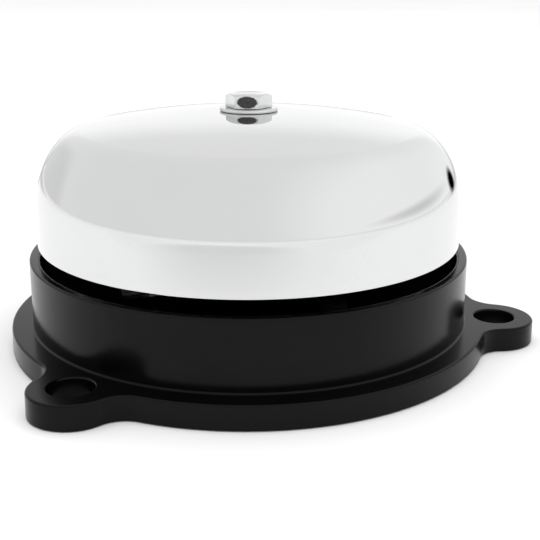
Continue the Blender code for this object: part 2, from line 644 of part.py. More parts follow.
def make_chassis(finish):
    """Steel plate with two bent-up ears for the pivot and one for the rest stop."""
    outline = rounded_rectangle(CHASSIS_LENGTH, CHASSIS_WIDTH, CHASSIS_CORNER)
    chassis = flat_plate("chassis_plate", outline, CHASSIS_Z, SHEET, finish["sheet_steel"])
    root = CHASSIS_Z + SHEET / 2
    ear_top = PIVOT_Z + 2 * KNUCKLE_RADIUS
    for side in (-1, 1):
        centre = (PIVOT_X, side * EAR_Y, (ear_top + root) / 2)
        join(chassis, box("ear_shape", (EAR_LENGTH, SHEET, ear_top - root), centre, tool=True))
    cut(chassis, cylinder("pin_cut", PIN_RADIUS + GAP, 3 * ARMATURE_WIDTH, (PIVOT_X, 0, PIVOT_Z),
                          axis="Y", tool=True, sides=16))
    tab_top = STOP_Z + STOP_TAB_WIDTH / 2
    centre = (STOP_TAB_X + SHEET / 2, STOP_Y, (tab_top + root) / 2)
    join(chassis, box("tab_shape", (SHEET, STOP_TAB_WIDTH, tab_top - root), centre, tool=True))
    cut(chassis, cylinder("stop_cut", SCREW_RADIUS + GAP, 6 * SHEET, (STOP_TAB_X, STOP_Y, STOP_Z),
                          axis="X", tool=True, sides=16))
    cut(chassis, cylinder("spigot_cut", SPIGOT_RADIUS + GAP, 3 * SHEET, (0, 0, CHASSIS_Z), tool=True))
    for x, y in chassis_screw_places() + [earth_place(), (BLOCK_X, 0.0)]:
        cut(chassis, cylinder("screw_cut", SCREW_RADIUS + GAP, 3 * SHEET, (x, y, CHASSIS_Z),
                              tool=True, sides=16))


def screw(name, place_of, head_low, length, finish, axis="Z"):
    """A slotted cheese-head screw, its shank pointing down, or along -X."""
    profile = [(0.0, SCREW_HEAD_HEIGHT), (SCREW_HEAD_RADIUS * 0.85, SCREW_HEAD_HEIGHT),
               (SCREW_HEAD_RADIUS, SCREW_HEAD_HEIGHT * 0.7), (SCREW_HEAD_RADIUS, 0.0),
               (SCREW_RADIUS, 0.0), (SCREW_RADIUS, -length), (0.0, -length)]
    centre = (head_low, *place_of) if axis == "X" else (*place_of, head_low)
    made = turned(name, profile, False, finish, centre=centre, axis=axis, steps=14)
    slot = (4 * SCREW_HEAD_RADIUS, SCREW_SLOT, SCREW_SLOT * 2)
    if axis == "X":
        slot = (SCREW_SLOT * 2, 4 * SCREW_HEAD_RADIUS, SCREW_SLOT)
        middle = (head_low + SCREW_HEAD_HEIGHT, *place_of)
    else:
        middle = (*place_of, head_low + SCREW_HEAD_HEIGHT)
    cut(made, box("slot_cut", slot, middle, tool=True))
    return made


def earth_place():
    """Centre of the earth screw on the chassis."""
    return (CHASSIS_SCREW_X, 0.0)


def make_chassis_screws(finish):
    """Four screws into the moulded bosses, and the earth screw with its washer."""
    low = DECK + GAP
    for index, centre in enumerate(chassis_screw_places(), 1):
        screw(f"chassis_screw_{index}", centre, low, low - BOSS_TOP + CHASSIS_SCREW_HOLD,
              finish["zinc_steel"])
    top = low + EARTH_WASHER_THICKNESS
    bore = SCREW_RADIUS + GAP
    ring = [(bore, top), (EARTH_WASHER_RADIUS, top), (EARTH_WASHER_RADIUS, low), (bore, low)]
    turned("earth_washer", ring, True, finish["brass"], centre=(*earth_place(), 0.0), steps=20)
    head_low = top + GAP
    screw("earth_screw", earth_place(), head_low, head_low - CHASSIS_Z + EARTH_SCREW_SPARE, finish["brass"])


# ---- magnet -------------------------------------------------------------------------------

def make_magnet(finish):
    """U-shaped laminated core with a bobbin, winding and wrap on each leg."""
    yoke_low = DECK + GAP
    yoke_top = POLE_Z + POLE_SIZE / 2 + YOKE_MARGIN
    width = POLE_SPACING + POLE_SIZE + 2 * YOKE_MARGIN
    core = box("magnet_core", (YOKE_THICKNESS, width, yoke_top - yoke_low),
               ((YOKE_FRONT + YOKE_BACK) / 2, 0.0, (yoke_top + yoke_low) / 2), finish["core_steel"])
    leg_back = YOKE_FRONT - YOKE_THICKNESS / 2
    spool = [(0.0, COIL_LENGTH), (BOBBIN_RADIUS, COIL_LENGTH), (BOBBIN_RADIUS, COIL_LENGTH - BOBBIN_FLANGE),
             (BOBBIN_BARREL, COIL_LENGTH - BOBBIN_FLANGE), (BOBBIN_BARREL, BOBBIN_FLANGE),
             (BOBBIN_RADIUS, BOBBIN_FLANGE), (BOBBIN_RADIUS, 0.0), (0.0, 0.0)]
    winding = coil_ring(BOBBIN_BARREL + GAP, WINDING_DEPTH)
    wrap = coil_ring(COIL_RADIUS - WRAP_THICKNESS, WRAP_THICKNESS)
    for side, tag in ((-1, "left"), (1, "right")):
        y = side * POLE_SPACING / 2
        join(core, box("leg_shape", (POLE_FACE - leg_back, POLE_SIZE, POLE_SIZE),
                       ((POLE_FACE + leg_back) / 2, y, POLE_Z), tool=True))
        centre = (COIL_START, y, POLE_Z)
        bobbin = turned(f"coil_bobbin_{tag}", spool, False, finish["nylon"], centre=centre, axis="X")
        cut(bobbin, box("leg_cut", (3 * COIL_LENGTH, 2 * POLE_BORE, 2 * POLE_BORE), centre, tool=True))
        turned(f"coil_winding_{tag}", winding, True, finish["copper_wire"], centre=centre, axis="X")
        turned(f"coil_wrap_{tag}", wrap, True, finish["wrap_tape"], centre=centre, axis="X")


def coil_ring(radius, thickness):
    """Section of a sleeve that lies between a bobbin's flanges."""
    low = BOBBIN_FLANGE + GAP
    high = COIL_LENGTH - BOBBIN_FLANGE - GAP
    return [(radius, high), (radius + thickness, high), (radius + thickness, low), (radius, low)]


# ---- striker ------------------------------------------------------------------------------

def striker_face():
    """Where the striker's front stands at rest, so that its stroke ends just short of the gong.

    Each point of the front's edge is swung through the strike angle and kept inside the gong.
    """
    sine, cosine = math.sin(STRIKE_ANGLE), math.cos(STRIKE_ANGLE)
    edge = STRIKER_RADIUS - STRIKER_CROWN / 2
    reach = gong_inside(RIM_Z) + PIVOT_X
    for side, lift in arc((0.0, STRIKER_LEVER), edge, 0.0, 2 * math.pi, 25) * 3:
        height = PIVOT_Z + lift * cosine - reach * sine
        limit = math.sqrt((gong_inside(height) - STRIKE_CLEARANCE) ** 2 - side ** 2)
        reach = min(reach, (limit + PIVOT_X - lift * sine) / cosine)
    return PIVOT_X - reach


def make_striker(finish):
    """Armature with the rod, nuts and striker that swing with it."""
    pivot = bpy.data.objects.new("striker_pivot", None)
    pivot.location = (PIVOT_X, 0.0, PIVOT_Z)
    CAST.objects.link(pivot)
    face = striker_face()
    rod_back = ARMATURE_BACK + GAP + ROD_NUT_THICKNESS + ROD_SPARE
    rod_front = face + STRIKER_NOSE + GAP
    centre = ((rod_back + rod_front) / 2, 0, STRIKER_Z)
    rod = cylinder("striker_rod", ROD_RADIUS, rod_back - rod_front, centre, axis="X",
                   material=finish["zinc_steel"])
    bore = ROD_RADIUS + GAP
    crown = STRIKER_CROWN
    head = [(0.0, STRIKER_NOSE), (bore, STRIKER_NOSE), (bore, STRIKER_LENGTH),
            (STRIKER_RADIUS - crown, STRIKER_LENGTH), (STRIKER_RADIUS, STRIKER_LENGTH - crown),
            (STRIKER_RADIUS, 2 * crown), (STRIKER_RADIUS - crown / 2, crown / 2),
            (STRIKER_RADIUS - 2 * crown, 0.0), (0.0, 0.0)]
    moving = [make_armature(finish), rod]
    moving.append(turned("striker_head", head, False, finish["brass"], centre=(face, 0, STRIKER_Z), axis="X"))
    step = GAP + ROD_NUT_THICKNESS / 2
    for tag, x in (("front", ARMATURE_FRONT - step), ("back", ARMATURE_BACK + step)):
        moving.append(hex_nut(f"rod_nut_{tag}", ROD_NUT_FLATS, ROD_NUT_THICKNESS, bore, (x, 0, STRIKER_Z),
                              finish["zinc_steel"]))
    hang_on(pivot, moving)


def make_armature(finish):
    """Soft iron plate with its knuckle on the pin and a tongue for the rod."""
    half = ARMATURE_WIDTH / 2
    wide_top = PIVOT_Z + ARMATURE_HEIGHT
    relief = PIVOT_Z + SPRING_RADIUS + SPRING_WIRE_RADIUS + 2 * GAP
    outline = [(-half, relief), (half, relief), (half, wide_top), (TONGUE_WIDTH / 2, wide_top)]
    outline += arc((0.0, STRIKER_Z), TONGUE_WIDTH / 2, 0.0, math.pi, 9)
    outline += [(-TONGUE_WIDTH / 2, wide_top), (-half, wide_top)]
    armature = flat_plate("armature", outline, ARMATURE_FRONT, ARMATURE_THICKNESS,
                          finish["core_steel"], upright=True)
    neck_low = PIVOT_Z + (PIN_RADIUS + GAP + KNUCKLE_RADIUS) / 2
    neck_high = relief + NECK_LAP
    neck = (NECK_THICKNESS, 2 * (KNUCKLE_HALF - NECK_INSET), neck_high - neck_low)
    join(armature, box("neck_shape", neck, (PIVOT_X, 0, (neck_high + neck_low) / 2), tool=True))
    join(armature, cylinder("knuckle_shape", KNUCKLE_RADIUS, 2 * KNUCKLE_HALF, (PIVOT_X, 0, PIVOT_Z),
                            axis="Y", tool=True))
    cut(armature, cylinder("knuckle_cut", PIN_RADIUS + GAP, 3 * ARMATURE_WIDTH, (PIVOT_X, 0, PIVOT_Z),
                           axis="Y", tool=True, sides=16))
    cut(armature, cylinder("rod_cut", ROD_RADIUS + GAP, 8 * ARMATURE_THICKNESS, (PIVOT_X, 0, STRIKER_Z),
                           axis="X", tool=True, sides=16))
    return armature


def hex_nut(name, flats, thickness, bore, centre, finish):
    """A hexagon nut on an axis along X."""
    nut = cylinder(name, flats / math.sqrt(3), thickness, centre, axis="X", material=finish, sides=6)
    return cut(nut, cylinder("nut_cut", bore, 4 * thickness, centre, axis="X", tool=True, sides=16))


def make_pivot(finish):
    """Headed pin through the two ears, and the clip that keeps it in."""
    head_end, tail_end = PIN_END + PIN_HEAD_THICKNESS, -PIN_END - PIN_TAIL
    pin = [(0.0, head_end), (PIN_HEAD_RADIUS, head_end), (PIN_HEAD_RADIUS, PIN_END),
           (PIN_RADIUS, PIN_END), (PIN_RADIUS, tail_end), (0.0, tail_end)]
    turned("pivot_pin", pin, False, finish["zinc_steel"], centre=(PIVOT_X, 0, PIVOT_Z), axis="Y", steps=20)
    bore = PIN_RADIUS + GAP
    clip = [(bore, CLIP_THICKNESS), (CLIP_RADIUS, CLIP_THICKNESS), (CLIP_RADIUS, 0.0), (bore, 0.0)]
    turned("pivot_clip", clip, True, finish["zinc_steel"],
           centre=(PIVOT_X, -PIN_END - CLIP_THICKNESS, PIVOT_Z), axis="Y", steps=20)


def make_spring(finish):
    """Torsion spring round the pin: one leg on the armature's front, one on the chassis."""
    start = KNUCKLE_HALF + 2 * GAP + SPRING_WIRE_RADIUS
    per_turn = 12
    coil = []
    for index in range(int(per_turn * SPRING_TURNS) + 1):
        angle = math.pi - 2 * math.pi * index / per_turn
        coil.append((PIVOT_X + SPRING_RADIUS * math.cos(angle), start + SPRING_PITCH * index / per_turn,
                     PIVOT_Z + SPRING_RADIUS * math.sin(angle)))
    up_leg = (ARMATURE_FRONT - GAP - SPRING_WIRE_RADIUS, start, POLE_Z - POLE_SIZE / 2 - GAP)
    bend = (PIVOT_X - SPRING_RADIUS, start, PIVOT_Z)
    down_leg = (PIVOT_X - SPRING_FOOT, coil[-1][1], coil[-1][2])
    tube("return_spring", [up_leg, bend] + coil[1:] + [down_leg], SPRING_WIRE_RADIUS, finish["zinc_steel"],
         resolution=1)


def make_rest_stop(finish):
    """Adjusting screw through the tab, its lock nut and the rubber pad on its tip."""
    pad_face = ARMATURE_BACK + GAP
    tip = pad_face + STOP_PAD_THICKNESS + GAP
    nut_low = STOP_TAB_X + SHEET + GAP
    head_low = nut_low + STOP_NUT_THICKNESS + STOP_SCREW_SPARE
    screw("stop_screw", (STOP_Y, STOP_Z), head_low, head_low - tip, finish["brass"], axis="X")
    pad = (pad_face + STOP_PAD_THICKNESS / 2, STOP_Y, STOP_Z)
    cylinder("stop_pad", STOP_PAD_RADIUS, STOP_PAD_THICKNESS, pad, axis="X", material=finish["rubber"])
    hex_nut("stop_nut", STOP_NUT_FLATS, STOP_NUT_THICKNESS, SCREW_RADIUS + GAP,
            (nut_low + STOP_NUT_THICKNESS / 2, STOP_Y, STOP_Z), finish["brass"])


# ---- terminals ----------------------------------------------------------------------------

def make_terminals(finish):
    """Moulded terminal block with two brass barrels, their clamp screws and its fixing screw."""
    height = BLOCK_TOP - BLOCK_LOW
    block = box("terminal_block", (BLOCK_LENGTH, BLOCK_WIDTH, height),
                (BLOCK_X, 0.0, (BLOCK_LOW + BLOCK_TOP) / 2), finish["nylon"])
    bore = SCREW_RADIUS + GAP
    length = BLOCK_LENGTH - 2 * BARREL_INSET
    for index, y in enumerate((-TERMINAL_Y, TERMINAL_Y), 1):
        cut(block, box("barrel_cut", (3 * BLOCK_LENGTH, BARREL_POCKET, BARREL_POCKET),
                       (BLOCK_X, y, BARREL_Z), tool=True))
        cut(block, cylinder("driver_cut", SCREW_HEAD_RADIUS + GAP, height,
                            (BLOCK_X, y, BARREL_Z + height / 2), tool=True))
        barrel = box(f"terminal_barrel_{index}", (length, BARREL_SIZE, BARREL_SIZE),
                     (BLOCK_X, y, BARREL_Z), finish["brass"])
        cut(barrel, cylinder("wire_cut", WIRE_HOLE_RADIUS, 2 * length, (BLOCK_X, y, BARREL_Z), axis="X",
                             tool=True, sides=16))
        cut(barrel, cylinder("clamp_cut", bore, BARREL_SIZE, (BLOCK_X, y, BARREL_Z + BARREL_SIZE / 2),
                             tool=True, sides=16))
        screw(f"terminal_screw_{index}", (BLOCK_X, y), BARREL_Z + BARREL_SIZE / 2 + GAP,
              BARREL_SIZE / 2 - WIRE_HOLE_RADIUS + GAP, finish["zinc_steel"])
    seat = BLOCK_TOP - BLOCK_SCREW_SINK
    cut(block, cylinder("fixing_cut", bore, 4 * height, (BLOCK_X, 0.0, BLOCK_LOW), tool=True))
    cut(block, cylinder("fixing_head_cut", SCREW_HEAD_RADIUS + GAP, height,
                        (BLOCK_X, 0.0, seat + height / 2), tool=True))
    screw("block_screw", (BLOCK_X, 0.0), seat + GAP, BLOCK_SCREW_LENGTH, finish["zinc_steel"])


def smooth_route(points, count):
    """Points of a Catmull-Rom curve through a few hand-placed ones."""
    padded = [points[0]] + points + [points[-1]]
    route = []
    for index in range(1, len(padded) - 2):
        before, start, end, after = (Vector(p) for p in padded[index - 1:index + 3])
        for step in range(count):
            t = step / count
            route.append(0.5 * (2 * start + (end - before) * t
                                + (2 * before - 5 * start + 4 * end - after) * t ** 2
                                + (3 * start - before - 3 * end + after) * t ** 3))
    return route + [Vector(points[-1])]


def make_leads(finish):
    """Insulated leads from the coils round the pivot ears to the terminals."""
    floor = DECK + GAP + LEAD_RADIUS
    entry = BLOCK_X - BLOCK_LENGTH / 2 + LEAD_ENTRY
    middle = (COIL_START + COIL_END) / 2
    for side, tag in ((-1, "left"), (1, "right")):
        coil_side, lane, y = side * LEAD_COIL_SIDE, side * LEAD_LANE, side * TERMINAL_Y
        corners = [(middle, coil_side, POLE_Z + 1.0 * MM),
                   (middle + 2.0 * MM, coil_side + side * 0.4 * MM, POLE_Z - 4.0 * MM),
                   (PIVOT_X - 4.0 * MM, lane, floor + 0.8 * MM),
                   (PIVOT_X + 6.0 * MM, lane, floor + 0.6 * MM),
                   (entry - 13.0 * MM, lane - side * 1.3 * MM, floor + 1.2 * MM),
                   (entry - 4.0 * MM, y + side * 1.1 * MM, BARREL_Z),
                   (entry, y, BARREL_Z)]
        tube(f"coil_lead_{tag}", smooth_route(corners, 5), LEAD_RADIUS, finish["lead_insulation"])


# ---- build --------------------------------------------------------------------------------

def main():
    """Model the whole bell."""
    for obj in list(bpy.data.objects):
        bpy.data.objects.remove(obj)
    for collection in (CAST, TOOLS):
        bpy.context.scene.collection.children.link(collection)
    finish = make_materials()
    make_base(finish)
    make_grommet(finish)
    make_gong(finish)
    make_gong_fixing(finish)
    make_chassis(finish)
    make_chassis_screws(finish)
    make_magnet(finish)
    make_striker(finish)
    make_pivot(finish)
    make_spring(finish)
    make_rest_stop(finish)
    make_terminals(finish)
    make_leads(finish)
    make_cover(finish)


main()
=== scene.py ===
"""Looks of an electric gong bell: a chrome gong over a black moulded base, with its striker inside.

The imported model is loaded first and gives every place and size. Each sub-assembly below is a
class that builds finer pieces on those places, and each finish is a small class of its own.
Lengths are in metres and +Z points from the wall towards the gong's crown.
"""

import json
import logging
import math
from dataclasses import dataclass
from enum import Enum
from typing import Optional, Sequence

import bmesh
import bpy
from mathutils import Matrix, Vector


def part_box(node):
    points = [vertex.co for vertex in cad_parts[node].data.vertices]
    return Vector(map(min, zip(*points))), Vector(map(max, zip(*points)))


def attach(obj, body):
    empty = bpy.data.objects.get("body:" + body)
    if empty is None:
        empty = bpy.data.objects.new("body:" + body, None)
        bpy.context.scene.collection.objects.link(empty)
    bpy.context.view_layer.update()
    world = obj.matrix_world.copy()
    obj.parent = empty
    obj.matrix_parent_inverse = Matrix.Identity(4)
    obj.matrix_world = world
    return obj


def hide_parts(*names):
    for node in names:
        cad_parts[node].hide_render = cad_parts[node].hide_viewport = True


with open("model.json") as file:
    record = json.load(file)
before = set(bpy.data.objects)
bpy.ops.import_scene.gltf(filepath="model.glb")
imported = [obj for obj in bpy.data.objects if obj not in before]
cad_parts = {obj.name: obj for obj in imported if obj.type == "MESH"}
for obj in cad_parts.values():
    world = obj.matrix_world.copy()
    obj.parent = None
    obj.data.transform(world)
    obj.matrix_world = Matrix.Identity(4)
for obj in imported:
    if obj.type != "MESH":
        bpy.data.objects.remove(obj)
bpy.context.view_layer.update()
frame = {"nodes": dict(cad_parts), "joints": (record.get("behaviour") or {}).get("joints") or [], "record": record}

LOG = logging.getLogger("gong_bell")
MM = 0.001
TURN = 2.0 * math.pi
CLEARANCE = 0.3 * MM
ZINC_DARK = (0.60, 0.605, 0.61)
ZINC_LIGHT = (0.70, 0.70, 0.695)
Point = tuple[float, float]
Corner = tuple[float, float, float]


class Axis(Enum):
    """Direction of a turned or extruded piece's own axis."""

    X = "X"
    Y = "Y"
    Z = "Z"

    def matrix(self) -> Matrix:
        """Rotation that takes the local Z axis to this axis."""
        turns = {Axis.X: Matrix.Rotation(math.pi / 2, 4, "Y"),
                 Axis.Y: Matrix.Rotation(-math.pi / 2, 4, "X"),
                 Axis.Z: Matrix.Identity(4)}
        return turns[self]


class Cut(Enum):
    """How two solids are combined."""

    JOIN = "UNION"
    REMOVE = "DIFFERENCE"
    KEEP = "INTERSECT"


# ---- finishes -----------------------------------------------------------------------------

class Sheet:
    """A material's node tree, with short calls for the nodes that the finishes share."""

    def __init__(self, name: str) -> None:
        """Start a material with one Principled shader.

        Args:
            name: the material's name.
        """
        self.material = bpy.data.materials.new(name)
        self.material.use_nodes = True
        self.tree = self.material.node_tree
        self.shader = self.tree.nodes["Principled BSDF"]
        self.place = self.tree.nodes.new("ShaderNodeTexCoord").outputs["Object"]

    def link(self, start: bpy.types.NodeSocket, end: bpy.types.NodeSocket) -> None:
        """Join an output to an input."""
        self.tree.links.new(start, end)

    def noise(self, scale: float, detail: float = 3.0, stretch: Corner = (1.0, 1.0, 1.0),
              vector: Optional[bpy.types.NodeSocket] = None) -> bpy.types.NodeSocket:
        """Fractal noise over the piece.

        Args:
            scale: features per metre.
            detail: octaves.
            stretch: factors on the three coordinates.
            vector: coordinates to use instead of the piece's own.

        Returns:
            The noise value.
        """
        mapping = self.tree.nodes.new("ShaderNodeMapping")
        mapping.inputs["Scale"].default_value = stretch
        self.link(vector or self.place, mapping.inputs["Vector"])
        noise = self.tree.nodes.new("ShaderNodeTexNoise")
        noise.inputs["Scale"].default_value = scale
        noise.inputs["Detail"].default_value = detail
        self.link(mapping.outputs["Vector"], noise.inputs["Vector"])
        return noise.outputs["Fac"]

    def rings(self) -> bpy.types.NodeSocket:
        """Coordinates that change only with distance from the axis and with height."""
        split = self.tree.nodes.new("ShaderNodeSeparateXYZ")
        self.link(self.place, split.inputs["Vector"])
        flat = self.tree.nodes.new("ShaderNodeCombineXYZ")
        self.link(split.outputs["X"], flat.inputs["X"])
        self.link(split.outputs["Y"], flat.inputs["Y"])
        length = self.tree.nodes.new("ShaderNodeVectorMath")
        length.operation = "LENGTH"
        self.link(flat.outputs["Vector"], length.inputs[0])
        joined = self.tree.nodes.new("ShaderNodeCombineXYZ")
        self.link(length.outputs["Value"], joined.inputs["X"])
        self.link(split.outputs["Z"], joined.inputs["Z"])
        return joined.outputs["Vector"]

    def spread(self, value: bpy.types.NodeSocket, low: float, high: float,
               start: float = 0.3, end: float = 0.7) -> bpy.types.NodeSocket:
        """Take a value from one range to another.

        Args:
            value: the value to change.
            low: result at the start of the range.
            high: result at the end of the range.
            start: where the range starts.
            end: where the range ends.

        Returns:
            The changed value.
        """
        ranged = self.tree.nodes.new("ShaderNodeMapRange")
        ranged.inputs["From Min"].default_value = start
        ranged.inputs["From Max"].default_value = end
        ranged.inputs["To Min"].default_value = low
        ranged.inputs["To Max"].default_value = high
        self.link(value, ranged.inputs["Value"])
        return ranged.outputs["Result"]

    def tint(self, value: bpy.types.NodeSocket, dark: Corner, light: Corner,
             start: float = 0.35, end: float = 0.65) -> None:
        """Colour the piece between two colours."""
        ramp = self.tree.nodes.new("ShaderNodeValToRGB")
        ramp.color_ramp.elements[0].position = start
        ramp.color_ramp.elements[0].color = (*dark, 1.0)
        ramp.color_ramp.elements[1].position = end
        ramp.color_ramp.elements[1].color = (*light, 1.0)
        self.link(value, ramp.inputs["Fac"])
        self.link(ramp.outputs["Color"], self.shader.inputs["Base Color"])

    def roughen(self, value: bpy.types.NodeSocket, low: float, high: float) -> None:
        """Vary the roughness between two values."""
        self.link(self.spread(value, low, high), self.shader.inputs["Roughness"])

    def relief(self, layers: Sequence[tuple[bpy.types.NodeSocket, float, float]]) -> None:
        """Stack bump layers.

        Args:
            layers: height value, strength and depth in metres of each layer.
        """
        below = None
        for value, strength, depth in layers:
            bump = self.tree.nodes.new("ShaderNodeBump")
            bump.inputs["Strength"].default_value = strength
            bump.inputs["Distance"].default_value = depth
            self.link(value, bump.inputs["Height"])
            if below is not None:
                self.link(below, bump.inputs["Normal"])
            below = bump.outputs["Normal"]
        self.link(below, self.shader.inputs["Normal"])

    def bands(self, scale: float, direction: str) -> bpy.types.NodeSocket:
        """Straight bands across the piece, such as laminations or wire turns."""
        wave = self.tree.nodes.new("ShaderNodeTexWave")
        wave.bands_direction = direction
        wave.inputs["Scale"].default_value = scale
        wave.inputs["Distortion"].default_value = 0.3
        self.link(self.place, wave.inputs["Vector"])
        return wave.outputs["Fac"]


@dataclass(frozen=True)
class Finish:
    """A finish with mottled colour, uneven gloss and a fine relief."""

    slot: str
    dark: Corner
    light: Corner
    gloss: Point
    metallic: float = 0.0
    index: float = 1.5
    grain: float = 900.0
    depth: float = 0.02 * MM

    def make(self) -> bpy.types.Material:
        """Build the material."""
        sheet = Sheet(self.slot)
        sheet.shader.inputs["Metallic"].default_value = self.metallic
        sheet.shader.inputs["IOR"].default_value = self.index
        self.paint(sheet)
        return sheet.material

    def paint(self, sheet: Sheet) -> None:
        """Give the surface its colour, gloss and relief."""
        sheet.tint(sheet.noise(160.0), self.dark, self.light)
        sheet.roughen(sheet.noise(70.0, 5.0), *self.gloss)
        sheet.relief([(sheet.noise(self.grain, 4.0), 0.2, self.depth)])


@dataclass(frozen=True)
class PolishedChrome(Finish):
    """Mirror chrome over spun sheet, with faint polishing rings and a slow waviness."""

    def paint(self, sheet: Sheet) -> None:
        """Give the surface its colour, gloss and relief."""
        rings = sheet.rings()
        sheet.tint(sheet.noise(35.0, 2.0), self.dark, self.light)
        sheet.roughen(sheet.noise(1400.0, 4.0, vector=rings), *self.gloss)
        sheet.relief([(sheet.noise(28.0, 1.0), 0.25, 0.05 * MM),
                      (sheet.noise(1800.0, 3.0, vector=rings), 0.06, 0.004 * MM)])


@dataclass(frozen=True)
class MouldedPlastic(Finish):
    """Gloss moulded plastic: fine eggshell skin, flow marks and light handling scuffs."""

    def paint(self, sheet: Sheet) -> None:
        """Give the surface its colour, gloss and relief."""
        sheet.tint(sheet.noise(55.0, 4.0), self.dark, self.light)
        flow = sheet.noise(26.0, 5.0, (1.0, 1.0, 3.0))
        sheet.roughen(flow, *self.gloss)
        sheet.relief([(sheet.noise(240.0, 2.0), 0.08, 0.03 * MM),
                      (sheet.noise(3200.0, 3.0), 0.12, 0.006 * MM)])


@dataclass(frozen=True)
class BrushedSteel(Finish):
    """Plated or rolled steel with straight brush lines along X."""

    def paint(self, sheet: Sheet) -> None:
        """Give the surface its colour, gloss and relief."""
        brushed = sheet.noise(2600.0, 4.0, (0.04, 1.0, 1.0))
        sheet.tint(sheet.noise(120.0, 4.0), self.dark, self.light)
        sheet.roughen(brushed, *self.gloss)
        sheet.relief([(brushed, 0.15, self.depth)])


@dataclass(frozen=True)
class Laminated(Finish):
    """Varnished steel stampings, stacked so that their edges show as fine lines."""

    sheets: float = 330.0

    def paint(self, sheet: Sheet) -> None:
        """Give the surface its colour, gloss and relief."""
        lines = sheet.bands(self.sheets, "Z")
        sheet.tint(lines, self.dark, self.light, 0.02, 0.3)
        sheet.roughen(sheet.noise(300.0, 4.0), *self.gloss)
        sheet.relief([(lines, 0.5, 0.06 * MM), (sheet.noise(1200.0, 3.0), 0.1, 0.02 * MM)])


@dataclass(frozen=True)
class ZincWithPaintedReflection(Finish):
    """Bright plate with a painted dark reflection: a dull dark oval in the middle of the head's flat that faces
    the camera.
    """

    bearing: float = 0.0
    reach: float = 4.75 * MM
    level: float = 0.0
    half_depth: float = 0.6 * MM
    half_width: float = 2.42 * MM
    half_height: float = 1.42 * MM
    # colour of the painted dark reflection on the flat
    painted_reflection: Corner = (0.035, 0.035, 0.035)
    speckle: float = 3.5
    roughening: float = 0.35

    def paint(self, sheet: Sheet) -> None:
        """Give the surface its colour, gloss and relief."""
        Finish.paint(self, sheet)
        # painted dark reflection: an oval mask on one flat of the head, its edge broken by fine noise
        turned = sheet.tree.nodes.new("ShaderNodeMapping")
        turned.vector_type = "TEXTURE"
        turned.inputs["Location"].default_value = (self.reach * math.cos(self.bearing),
                                                   self.reach * math.sin(self.bearing), self.level)
        turned.inputs["Rotation"].default_value = (0.0, 0.0, self.bearing)
        turned.inputs["Scale"].default_value = (self.half_depth, self.half_width, self.half_height)
        sheet.link(sheet.place, turned.inputs["Vector"])
        length = sheet.tree.nodes.new("ShaderNodeVectorMath")
        length.operation = "LENGTH"
        sheet.link(turned.outputs["Vector"], length.inputs[0])
        reflection_edge_noise = sheet.spread(sheet.noise(5200.0, 2.0, (1.0, 1.0, 0.5)), -0.07, 0.07)
        edge = sheet.tree.nodes.new("ShaderNodeMath")
        edge.operation = "ADD"
        sheet.link(length.outputs["Value"], edge.inputs[0])
        sheet.link(reflection_edge_noise, edge.inputs[1])
        mask = sheet.spread(edge.outputs["Value"], 1.0, 0.0, 0.88, 1.02)
        self.paint_reflection(sheet, mask, sheet.noise(4200.0, 3.0))
        self.dull(sheet, mask)

    def paint_reflection(self, sheet: Sheet, mask: bpy.types.NodeSocket, grain: bpy.types.NodeSocket) -> None:
        """Paint the dark reflection: darken the colour inside the mask, with a speckle."""
        ramp = sheet.tree.nodes.new("ShaderNodeValToRGB")
        ramp.color_ramp.elements[0].position = 0.35
        ramp.color_ramp.elements[0].color = (*self.painted_reflection, 1.0)
        ramp.color_ramp.elements[1].position = 0.75
        ramp.color_ramp.elements[1].color = (*(self.speckle * tone for tone in self.painted_reflection), 1.0)
        sheet.link(grain, ramp.inputs["Fac"])
        mix = sheet.tree.nodes.new("ShaderNodeMix")
        mix.data_type = "RGBA"
        before = sheet.shader.inputs["Base Color"].links[0].from_socket
        sheet.link(mask, mix.inputs["Factor"])
        sheet.link(before, mix.inputs["A"])
        sheet.link(ramp.outputs["Color"], mix.inputs["B"])
        sheet.link(mix.outputs["Result"], sheet.shader.inputs["Base Color"])

    def dull(self, sheet: Sheet, mask: bpy.types.NodeSocket) -> None:
        """Roughen the surface inside the mask."""
        before = sheet.shader.inputs["Roughness"].links[0].from_socket
        add = sheet.tree.nodes.new("ShaderNodeMath")
        add.operation = "ADD"
        add.use_clamp = True
        sheet.link(before, add.inputs[0])
        sheet.link(sheet.spread(mask, 0.0, self.roughening, 0.0, 1.0), add.inputs[1])
        sheet.link(add.outputs["Value"], sheet.shader.inputs["Roughness"])


